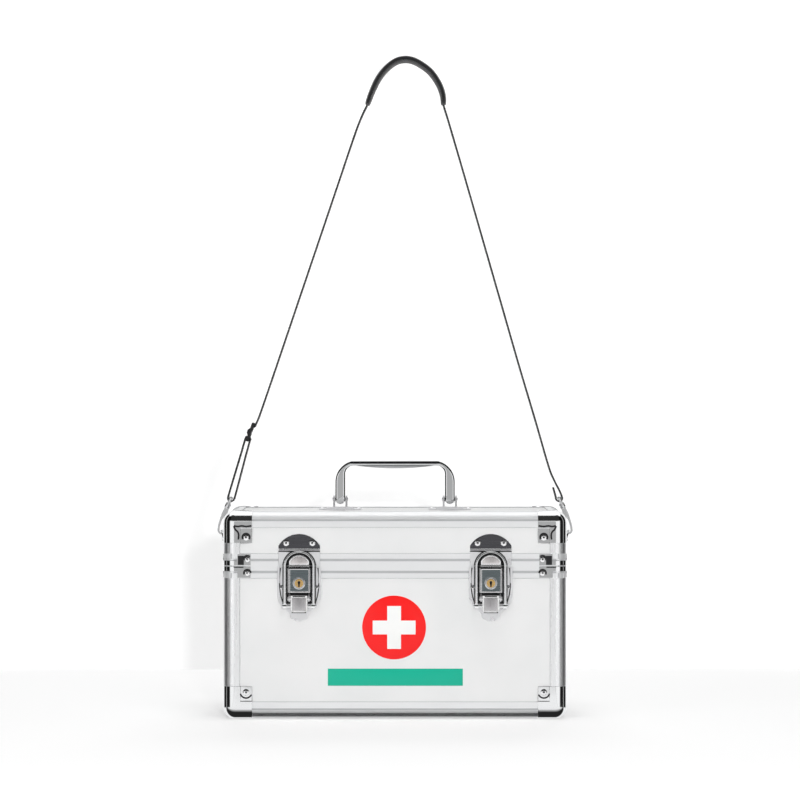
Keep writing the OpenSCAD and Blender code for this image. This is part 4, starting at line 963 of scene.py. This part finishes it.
        # Painted shadow: a dark bar under the ledge, and a dark disc behind the wire's arch.
        gap = block(self.ledge_shadow_size, (x, face_y("catch_plates", beside, self.ledge_z - 2 * MM), self.ledge_shadow_z),
                    3 * HAIR)
        arch = top_of(f"latch_bail_{side}") - self.wire_arch
        arch_shadow = cylinder(self.arch_shadow_radius, self.skin,
                          (x, face_y("catch_plates", beside, self.arch_shadow_probe_z), arch))
        cut(arch_shadow, (x, 0, CASE.parting + 4 * HAIR), (0, 0, -1))
        hand_over(joined([gap, settle(arch_shadow)]), f"catch_shadows_{side}", Body.LID, PAINTED_DARK)
        y, z = self.nose_at
        for name, radius, half, rise, out, finish in self.nose_faces:
            face = cylinder(radius, self.nose_deep, (x, y - out, z))
            for at, away in (((x, 0, z + rise), (0, 0, -1)), ((x - half, 0, 0), (-1, 0, 0)),
                             ((x + half, 0, 0), (1, 0, 0))):
                cut(face, at, away)
            hand_over(bevelled(settle(face), 5 * HAIR, 3), f"{name}_{side}", Body.LID, finish)


@dataclass
class CarryHandle:
    """The folding handle, its grip and its brackets.

    The upper and outer edges, where a dark reflection is painted, are the least upward or
    sideways normal of their faces, and the most forward one.
    """

    half_deep: float = 0.007
    round_width: float = 0.0022
    upper: Pair = (0.2, 0.97)
    outer: Pair = (0.4, 0.9)
    least_forward: float = 0.1

    def build(self) -> None:
        """Dresses the handle, with a wide round and a painted dark reflection along its four long edges."""
        refined("carry_handle", Body.HANDLE, HANDLE_CHROME, accents=((EDGE_REFLECTION_CHROME, self.edge_reflection),),
                rounded=((lambda p: abs(p.y) > self.half_deep - HAIR, self.round_width, 7),))
        refined("handle_grip", Body.HANDLE, GRIP_PLASTIC, 0.5)
        refined("handle_brackets", Body.LID, BASE_STEEL, 0.4)
        refined("handle_pins", Body.LID, RIVET_STEEL)

    def edge_reflection(self, centre: Vector, normal: Vector) -> bool:
        """Whether a face lies in the painted dark reflection along the front's and back's outer edges."""
        forward, rounded = abs(normal.y), abs(centre.y) >= self.half_deep - self.round_width
        return rounded and forward >= self.least_forward and any(
            way > least and forward < most
            for way, (least, most) in ((normal.z, self.upper), (abs(normal.x), self.outer)))


@dataclass
class Hinges:
    """The two leaf hinges at the back."""

    edge_mm: float = 0.25

    def build(self) -> None:
        """Dresses the leaves and their pins."""
        refined("lower_hinge_leaves", Body.CASE, LEAF_CHROME, self.edge_mm)
        refined("upper_hinge_leaves", Body.LID, LEAF_CHROME, self.edge_mm)
        refined("hinge_pins", Body.CASE, RIVET_STEEL)


@dataclass
class StrapFittings:
    """The rings at the lid's sides, the snap hooks, their gates and the adjuster."""

    edge_mm: float = 0.3

    def build(self) -> None:
        """Dresses the metal and the plastic that hold the strap."""
        for name, finish, edge_mm in (("ring_brackets", LEAF_CHROME, self.edge_mm),
                                      ("strap_rings", WIRE_STEEL, 0.0), ("snap_hooks", WIRE_STEEL, 0.5),
                                      ("gate_pins", RIVET_STEEL, 0.0),
                                      ("hook_swivels", WIRE_STEEL, self.edge_mm)):
            refined(name, Body.LID, finish, edge_mm)
        refined("strap_adjuster", Body.LID, BUCKLE_PLASTIC, 0.5, 3)
        for side in ("left", "right"):
            refined(f"hook_gate_{side}", Body(f"gate_{side}"), WIRE_STEEL, 0.2)


@dataclass
class MedicineTray:
    """The lift-out tray with three cells."""

    lip_round: float = 0.0006

    def build(self) -> None:
        """Dresses the tray, with its lip rounded."""
        lip = top_of("medicine_tray") - HAIR
        refined("medicine_tray", Body.TRAY, TRAY_PLASTIC,
                rounded=((lambda p: p.z > lip, self.lip_round, 3),))


@dataclass
class FrontPrint:
    """The label on the front: a plain red badge with a cross, over a bare green band."""

    badge_at: Pair = (-0.0009, 0.0960)
    badge_radius: float = 0.0335
    cross_arm: float = 0.0225
    cross_width: float = 0.0145
    band_at: Pair = (0.0004, 0.0438)
    band_size: Pair = (0.1418, 0.0180)
    ink: float = 0.00012
    softened: float = 0.4

    def build(self) -> None:
        """Makes the whole label."""
        front = CASE.front - self.ink / 2
        (x, z), (band_x, band_z), (wide, high) = self.badge_at, self.band_at, self.band_size
        disc = cylinder(self.badge_radius, self.ink, (x, front, z), vertices=96)
        self.printed(disc, "front_badge", RED_INK)
        self.printed(self.cross(), "front_badge_cross", WHITE_INK)
        band = box((wide, self.ink, high), (band_x, front, band_z))
        self.printed(band, "front_band", GREEN_INK)

    def printed(self, piece: Piece, name: str, finish: Finish) -> None:
        """Softens the edge of a printed shape, and hands it over."""
        hand_over(bevelled(piece, self.ink * self.softened), name, Body.CASE, finish)

    def cross(self) -> Piece:
        """A cross grown from a square by pushing its four sides out.

        Returns:
            The cross, over the badge.
        """
        middle = Vector((self.badge_at[0], CASE.front - self.ink * 1.5, self.badge_at[1]))
        piece = box((self.cross_width, self.ink, self.cross_width), middle)
        half = self.cross_width / 2
        for way in (Vector((1, 0, 0)), Vector((-1, 0, 0)), Vector((0, 0, 1)), Vector((0, 0, -1))):
            side = middle + way * half
            push_faces(piece, lambda c, n, way=way, side=side: (
                n.dot(way) > 0.9 and (c - side).length < half / 2), tuple(way * (self.cross_arm - half)))
        return piece


# Strap


def smooth_route(points: list[Pair], step: float) -> list[Vector]:
    """Runs a smooth line through route points in the strap's plane.

    Args:
        points: The route in millimetres, across and up.
        step: The longest stretch between two returned points.

    Returns:
        The line's points.
    """
    route = [Vector((x * MM, 0, z * MM)) for x, z in points]
    line = [route[0]]
    for i in range(len(route) - 1):
        a, b = route[max(i - 1, 0)], route[i]
        c, d = route[i + 1], route[min(i + 2, len(route) - 1)]
        span = (c - b).length
        into = (c - a) / max((c - a).length, 1e-9) * span
        out = (d - b) / max((d - b).length, 1e-9) * span
        count = max(1, math.ceil(span / step))
        for k in range(1, count + 1):
            t = k / count
            line.append(b * (2 * t**3 - 3 * t**2 + 1) + into * (t**3 - 2 * t**2 + t)
                        + c * (3 * t**2 - 2 * t**3) + out * (t**3 - t**2))
    return line


def headings(line: list[Vector]) -> list[Vector]:
    """The direction of travel at each point of a line."""
    last = len(line) - 1
    return [(line[min(i + 1, last)] - line[max(i - 1, 0)]).normalized() for i in range(len(line))]


def swept(name: str, line: list[Vector], section: Callable[[float], list]) -> Piece:
    """Lofts a closed section along a line in the strap's plane.

    Args:
        name: The new object's name.
        line: The centreline.
        section: Gives the (across, out) points of the section for a share of the length.

    Returns:
        The object, with a "weave" UV map: along and across, with the back face set apart.
    """
    mesh = bpy.data.meshes.new(name)
    build = bmesh.new()
    weave = build.loops.layers.uv.new("weave")
    rings, marks, along = [], [], 0.0
    for i, (at, head) in enumerate(zip(line, headings(line))):
        along += (at - line[i - 1]).length if i else 0.0
        out = Vector((-head.z, 0, head.x))
        points = section(i / (len(line) - 1))
        rings.append([build.verts.new(at + Vector((0, u, 0)) + out * v) for u, v in points])
        marks.append([(along, u + (BACK_FACE if v < 0 else 0.0)) for u, v in points])
    size = len(rings[0])
    for i in range(len(rings) - 1):
        for j in range(size):
            k = (j + 1) % size
            face = build.faces.new((rings[i][j], rings[i][k], rings[i + 1][k], rings[i + 1][j]))
            for loop, mark in zip(face.loops, (marks[i][j], marks[i][k], marks[i + 1][k], marks[i + 1][j])):
                loop[weave].uv = mark
    for ring in (rings[0], rings[-1]):
        build.faces.new(ring)
    bmesh.ops.recalc_face_normals(build, faces=build.faces)
    build.to_mesh(mesh)
    build.free()
    piece = bpy.data.objects.new(name, mesh)
    bpy.context.scene.collection.objects.link(piece)
    return piece


@dataclass
class ShoulderStrap:
    """The webbing, its pad and their stitching, in the plane y = 0.

    The bar, the adjuster and the routes are in millimetres. The thread is the radius, length and
    broken end of one row.
    """

    width: float = 0.025
    thick: float = 0.0016
    bar_radius: float = 3.5
    bar_at: Pair = (176.0, 229.5)
    adjuster_at: Pair = (-155.2, 300.4)
    lean: Pair = (0.342, 0.94)
    pad_width: float = 0.046
    pad_thick: float = 0.007
    pad_fill: float = 0.7
    step: float = 0.0035
    pad_step: float = 0.004
    thread: Point = (0.00035, 0.019, 0.00015)
    tack_places: Pair = (0.004, 0.030)
    tack_rows: int = 4
    tack_gap: float = 0.003

    def by_adjuster(self, along: float, inward: float) -> Pair:
        """A point by the adjuster, in millimetres along the strap and towards the handle."""
        (x, z), (aside, up) = self.adjuster_at, self.lean
        return (x + along * aside + inward * up, z + along * up - inward * aside)

    def round_bar(self, side: int, start: float, end: float, steps: int) -> list[Pair]:
        """Points round the bar of a swivel eye.

        Args:
            side: -1 for the left eye and 1 for the right one.
            start: The first angle in degrees.
            end: The last angle.
            steps: The number of steps between them.

        Returns:
            The points in millimetres.
        """
        turns = [math.radians(start + (end - start) * i / steps) for i in range(steps + 1)]
        return [(side * self.bar_at[0] + self.bar_radius * math.cos(a),
                 self.bar_at[1] + self.bar_radius * math.sin(a)) for a in turns]

    def left_route(self) -> list[Pair]:
        """From the pad through the adjuster, round the left eye and back up."""
        return [(-30, 651), (-34.5, 642), (-41, 626), (-62, 564), (-85, 496), (-108, 428), (-131, 360),
                (-143, 325), (-146.6, 315),
                *(self.by_adjuster(*p) for p in ((10.5, 2.7), (7.5, 2.7), (1.5, -2.7), (-1.5, -2.7),
                                                 (-7.5, 2.7), (-10.5, 2.7))),
                (-160, 276), (-165, 257), (-170, 238), *self.round_bar(-1, -15, -200, 6),
                (-176, 242), (-170, 262), (-164.6, 280),
                self.by_adjuster(-10.5, -2.7), self.by_adjuster(-5.6, -2.7)]

    def right_route(self) -> list[Pair]:
        """From the pad down, round the right eye and up to its sewn end."""
        return [(52, 651), (57, 635), (76, 570), (95, 504), (114, 438), (133, 372), (152, 308), (166, 260),
                (171.6, 247), (176.6, 237.4), *self.round_bar(1, 12, -192, 7), (171.2, 235.6), (169.6, 241)]

    def pad_route(self) -> list[Pair]:
        """Over the top, from the left strand's end to the right one's."""
        return [(-30, 651), (-25, 665), (-17.5, 680.5), (-8, 692), (1.5, 698.6), (10.7, 700.6), (20, 699),
                (30, 693.5), (39, 686), (47.5, 673), (51.5, 661), (52, 651)]

    def webbing_section(self, share: float) -> list[Pair]:
        """The webbing's section: flat faces with a rounder, slightly thicker selvedge.

        Args:
            share: The share of the length, which changes nothing here.

        Returns:
            Its points, across and out.
        """
        half, t = self.width / 2, self.thick / 2
        top = [(-half, 0.3 * t), (-half + 0.0004, 0.85 * t), (-half + 0.0014, t), (-half + 0.0026, 0.86 * t),
               (-half / 3, 0.86 * t), (half / 3, 0.86 * t), (half - 0.0026, 0.86 * t), (half - 0.0014, t),
               (half - 0.0004, 0.85 * t), (half, 0.3 * t)]
        return top + [(u, -v) for u, v in reversed(top)]

    def pad_section(self, share: float) -> list[Pair]:
        """The pad's section: crowned between a stitched channel near each edge.

        Args:
            share: The share of the length; the pad tapers to both ends.

        Returns:
            Its points, across and out.
        """
        taper = 0.72 + 0.28 * math.sqrt(max(0.0, 1 - abs(2 * share - 1) ** 4))
        half, t = self.pad_width / 2 * taper, self.pad_thick / 2 * taper
        shape = [(0.0, 1.0), (0.25, 0.99), (0.48, 0.93), (0.64, 0.80), (0.735, 0.62), (0.77, 0.48),
                 (0.805, 0.62), (0.88, 0.66), (0.95, 0.52), (0.99, 0.26)]
        right = [(half * u, t * v) for u, v in shape]
        top = [(-u, v) for u, v in reversed(right[1:])] + right
        return top + [(u, -v) for u, v in reversed(top)]

    def strand(self, name: str, route: list[Pair]) -> tuple[Piece, list[Vector]]:
        """One strand of webbing.

        Args:
            name: The CAD node that it replaces.
            route: Its route in millimetres.

        Returns:
            The piece and its centreline.
        """
        line = smooth_route(route, self.step)
        piece = swept(f"{name}_webbing", line, self.webbing_section)
        hand_over(piece, f"{name}_webbing", Body.LID, WEBBING)
        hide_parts(name)
        return piece, line

    def tack(self, line: list[Vector]) -> list[Vector]:
        """The rows of the bar tacks, on both faces of the webbing.

        Args:
            line: The webbing's centreline.

        Returns:
            The middle of each row.
        """
        rows, along = [], 0.0
        marks = [place + self.tack_gap * i for place in self.tack_places for i in range(self.tack_rows)]
        for a, b in zip(line, line[1:]):
            head, step = (b - a).normalized(), (b - a).length
            out = Vector((-head.z, 0, head.x)) * self.thick / 2
            for mark in marks:
                if along <= mark < along + step:
                    at = a + head * (mark - along)
                    rows += [at + out, at - out]
            along += step
        return rows

    def stitches(self, name: str, line: list[Vector]) -> None:
        """Lays rows of thread across the webbing.

        Args:
            name: The piece's name.
            line: The webbing's centreline.
        """
        radius, length, end = self.thread
        turn = Vector((0, 1, 0)).to_track_quat("Z", "Y").to_euler()
        rows = [bevelled(cylinder(radius, length, at, turn, 8), end, 1) for at in self.tack(line)]
        hand_over(joined(rows), name, Body.LID, BUCKLE_PLASTIC)

    def build(self) -> None:
        """Makes the strands, the pad and the sewing."""
        left, left_line = self.strand("strap_left", self.left_route())
        right, right_line = self.strand("strap_right", self.right_route())
        pad = swept("pad", smooth_route(self.pad_route(), self.pad_step), self.pad_section)
        apply(pad, "SUBSURF", levels=1, render_levels=1)
        hand_over(pad, "shoulder_pad_cover", Body.LID, PAD_CLOTH)
        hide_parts("shoulder_pad")
        self.stitches("strap_stitching_left", left_line)
        self.stitches("strap_stitching_right", right_line)


# Studio


@dataclass
class Studio:
    """The camera, the lamps, the white room and its shadows.

    A lamp is its name, place, the height that it is aimed at, its side and its watts. The tent's
    flags are degrees from straight ahead, each with the tent's brightness there. The roof, the
    foot and head of the board and the gap before the lens are spans in degrees.
    """

    eye: Point = (0.0053, -4.784, 0.3348)
    lens_mm: float = 200.4
    lamps: tuple = (("front", (0.15, -3.48, 0.5), 0.2, 0.09, 44.0),
                    ("key", (0.75, -2.6, 1.9), 0.2, 1.0, 9.0),
                    ("fill", (-1.8, -2.4, 0.9), 0.15, 1.4, 12.0),
                    ("top", (0.1, -0.5, 2.4), 0.2, 1.2, 15.0),
                    ("back", (0.1, 3.0, 1.8), 0.1, 1.4, 42.0))
    room_size: float = 14.0
    wall_y: float = 0.75
    soft: float = 0.34
    paint: str = "#E4E4E4"
    wall_glow: float = 0.33
    floor_glow: Pair = (0.31, 0.85)
    clearing: Pair = (0.8, 1.3)
    flags: tuple = ((0, 1.0), (46, 1.0), (53, 0.01), (85, 0.01), (87, 0.35), (93, 0.35), (95, 0.01),
                    (124, 0.01), (131, 1.0), (180, 1.0))
    roof: Pair = (44, 58)
    roof_glow: float = 1.35
    board_foot: Pair = (12, 18)
    board_head: Pair = (69, 74)
    board_front: Pair = (0.05, 0.25)
    board_dark: float = 0.97
    lens_gap: Pair = (14, 9)
    lens_dark: float = 0.56
    strip_y: Pair = (-0.2, -0.1)
    strip: tuple = ((0.0, 0.95), (0.7, 0.9), (0.86, 0.02), (0.97, 0.02), (0.985, 0.95), (1.0, 0.95))
    clear_beside: Pair = (0.21, 0.29)
    clear_before: Pair = (0.6, 0.9)

    def build(self) -> None:
        """Sets up the whole studio."""
        self.camera()
        self.world()
        self.room()
        self.light()
        bpy.context.scene.view_settings.view_transform = "Standard"
        log.info("studio ready")

    def camera(self) -> None:
        """Sets up the photograph's level, distant view."""
        data = bpy.data.cameras.new("camera")
        data.lens, data.sensor_width, data.clip_end = self.lens_mm, 36.0, 50.0
        eye = bpy.data.objects.new("camera", data)
        eye.location = self.eye
        eye.rotation_euler = (QUARTER, 0, 0)
        bpy.context.scene.collection.objects.link(eye)
        bpy.context.scene.camera = eye

    def light(self) -> None:
        """Hangs the soft square lamps, which the gloss doesn't see."""
        for name, at, aim, size, power in self.lamps:
            data = bpy.data.lights.new(name, "AREA")
            data.size, data.energy = size, power
            lamp = bpy.data.objects.new(name, data)
            lamp.location = at
            lamp.rotation_euler = (Vector((0, 0, aim)) - Vector(at)).to_track_quat("-Z", "Y").to_euler()
            lamp.visible_glossy = False
            bpy.context.scene.collection.objects.link(lamp)

    def bare(self, data: bpy.types.Material | bpy.types.World) -> Tree:
        """Clears the nodes of a material or a world.

        Args:
            data: The material or world.

        Returns:
            Its empty node tree.
        """
        data.use_nodes = True
        data.node_tree.nodes.clear()
        return data.node_tree

    def tent(self, tree: Tree) -> Node:
        """The white tent that the gloss sees: dark flags at both sides and high in front.

        Args:
            tree: The world's node tree.

        Returns:
            The node that gives its brightness.
        """
        way = add_node(tree, "SeparateXYZ", (add_node(tree, "TexCoord").outputs["Generated"],)).outputs
        ahead = add_node(tree, "Math", (way["Y"], -1.0), operation="MULTIPLY")
        aside = add_node(tree, "Math", (way["X"],), operation="ABSOLUTE")
        turn = add_node(tree, "Math", (aside, ahead), operation="ARCTAN2")
        share = add_node(tree, "Math", (turn, math.pi), operation="DIVIDE")
        sides = add_node(tree, "ValToRGB", (share,),
                         tuple((angle / 180, grey(level)) for angle, level in self.flags))
        spans = [(way["Z"], *(math.sin(math.radians(angle)) for angle in span))
                 for span in (self.roof, self.board_foot, self.board_head)]
        spans += [(ahead, *self.board_front),
                  (ahead, *(math.cos(math.radians(angle)) for angle in self.lens_gap))]
        roof, foot, head, front, gap = (
            add_node(tree, "MapRange", {"Value": value, "From Min": low, "From Max": high},
                     interpolation_type="SMOOTHSTEP") for value, low, high in spans)
        glow = add_node(tree, "Math", (roof, self.roof_glow), operation="MULTIPLY")
        bright = add_node(tree, "Math", (sides, glow), operation="MAXIMUM")
        height = add_node(tree, "Math", (foot, head), operation="SUBTRACT")
        board = add_node(tree, "Math", (height, front), operation="MULTIPLY")
        for shape, dark in ((board, self.board_dark), (gap, self.lens_dark)):
            shade = add_node(tree, "Math", (shape, dark), operation="MULTIPLY")
            left = add_node(tree, "Math", (1.0, shade), operation="SUBTRACT")
            bright = add_node(tree, "Math", (bright, left), operation="MULTIPLY")
        return bright

    def world(self) -> None:
        """White for what looks past the object, soft light, and the tent in the gloss."""
        world = bpy.data.worlds.new("studio")
        bpy.context.scene.world = world
        tree = self.bare(world)
        path = add_node(tree, "LightPath").outputs
        glossy, soft, seen = (add_node(tree, "Background", {"Color": grey(1.0), "Strength": strength})
                              for strength in (self.tent(tree), self.soft, 1.0))
        lit = add_node(tree, "MixShader", (path["Is Glossy Ray"], soft, glossy))
        past = add_node(tree, "Math", (path["Is Camera Ray"], path["Is Transmission Ray"]),
                        operation="MAXIMUM")
        add_node(tree, "OutputWorld", {"Surface": add_node(tree, "MixShader", (past, lit, seen))})

    def wall_paint(self) -> bpy.types.Material:
        """Pale paint that only the camera sees, and only from the front, so it just takes the shadow.

        Returns:
            The wall's material.
        """
        mat = bpy.data.materials.new("pale_wall")
        tree = self.bare(mat)
        paint = add_node(tree, "BsdfDiffuse", {"Color": linear(self.paint)})
        glow = add_node(tree, "Emission", {"Color": grey(1.0), "Strength": self.wall_glow})
        back = add_node(tree, "NewGeometry").outputs["Backfacing"]
        front = add_node(tree, "Math", (1.0, back), operation="SUBTRACT")
        seen = add_node(tree, "LightPath").outputs["Is Camera Ray"]
        shown = add_node(tree, "Math", (front, seen), operation="MULTIPLY")
        whole = add_node(tree, "MixShader", (shown, add_node(tree, "BsdfTransparent"),
                                             add_node(tree, "AddShader", (paint, glow))))
        add_node(tree, "OutputMaterial", {"Surface": whole})
        return mat

    def floor_paint(self) -> bpy.types.Material:
        """The same paint, with a grey stretch before the case that only the gloss sees.

        Further off the gloss looks through the floor, so that the tent goes on below the horizon.

        Returns:
            The floor's material.
        """
        mat = bpy.data.materials.new("pale_floor")
        tree = self.bare(mat)
        path = add_node(tree, "LightPath").outputs
        coords = add_node(tree, "TexCoord").outputs["Object"]
        place = add_node(tree, "SeparateXYZ", (coords,)).outputs
        reach = add_node(tree, "VectorMath", (coords,), operation="LENGTH").outputs["Value"]
        aside = add_node(tree, "Math", (place["X"],), operation="ABSOLUTE")
        ahead = add_node(tree, "Math", (place["Y"], -1.0), operation="MULTIPLY")
        far, beside, before = (
            add_node(tree, "MapRange", {"Value": value, "From Min": low, "From Max": high},
                     interpolation_type="SMOOTHSTEP")
            for value, (low, high) in ((reach, self.clearing), (aside, self.clear_beside),
                                       (ahead, self.clear_before)))
        low, high = self.floor_glow
        rise = add_node(tree, "Math", (far, high - low), operation="MULTIPLY")
        bright = add_node(tree, "Math", (rise, low), operation="ADD")
        paint = add_node(tree, "BsdfDiffuse", {"Color": linear(self.paint)})
        glow = add_node(tree, "Emission", {"Color": grey(1.0), "Strength": bright})
        lit = add_node(tree, "AddShader", (paint, glow))
        share = add_node(tree, "MapRange", {"Value": place["Y"], "From Min": self.strip_y[0],
                                            "From Max": self.strip_y[1]})
        strip = add_node(tree, "ValToRGB", (share,), tuple((at, grey(level)) for at, level in self.strip))
        near = add_node(tree, "Emission", {"Color": strip, "Strength": 1.0})
        open_floor = add_node(tree, "Math", (beside, before), operation="MAXIMUM")
        mirrored = add_node(tree, "MixShader", (open_floor, near, add_node(tree, "BsdfTransparent")))
        seen = add_node(tree, "MixShader", (path["Is Camera Ray"], paint, lit))
        whole = add_node(tree, "MixShader", (path["Is Glossy Ray"], seen, mirrored))
        add_node(tree, "OutputMaterial", {"Surface": whole})
        return mat

    def room(self) -> None:
        """A floor under the case, and a wall behind that leaves the lid room to open."""
        for name, at, turn, mat in (
                ("floor", (0, 0, 0), 0.0, self.floor_paint()),
                ("wall", (0, self.wall_y, self.room_size / 2), QUARTER, self.wall_paint())):
            select()
            bpy.ops.mesh.primitive_plane_add(size=self.room_size, location=at, rotation=(turn, 0, 0))
            plane = bpy.context.object
            plane.name = name
            bpy.ops.object.transform_apply(location=True, rotation=True, scale=True)
            plane.data.materials.append(mat)


def main() -> None:
    """Builds the studio and the strap, then dresses and adds to the case."""
    Studio().build()
    ShoulderStrap().build()
    plain(("strap_left", "strap_right"), WEBBING)
    plain(("shoulder_pad",), PAD_CLOTH)
    for part in (Casework(), Latches(), CarryHandle(), Hinges(), StrapFittings(), MedicineTray(),
                 FrontPrint()):
        part.build()


if __name__ == "__main__":
    logging.basicConfig(level=logging.INFO, format="%(name)s: %(message)s")
    main()
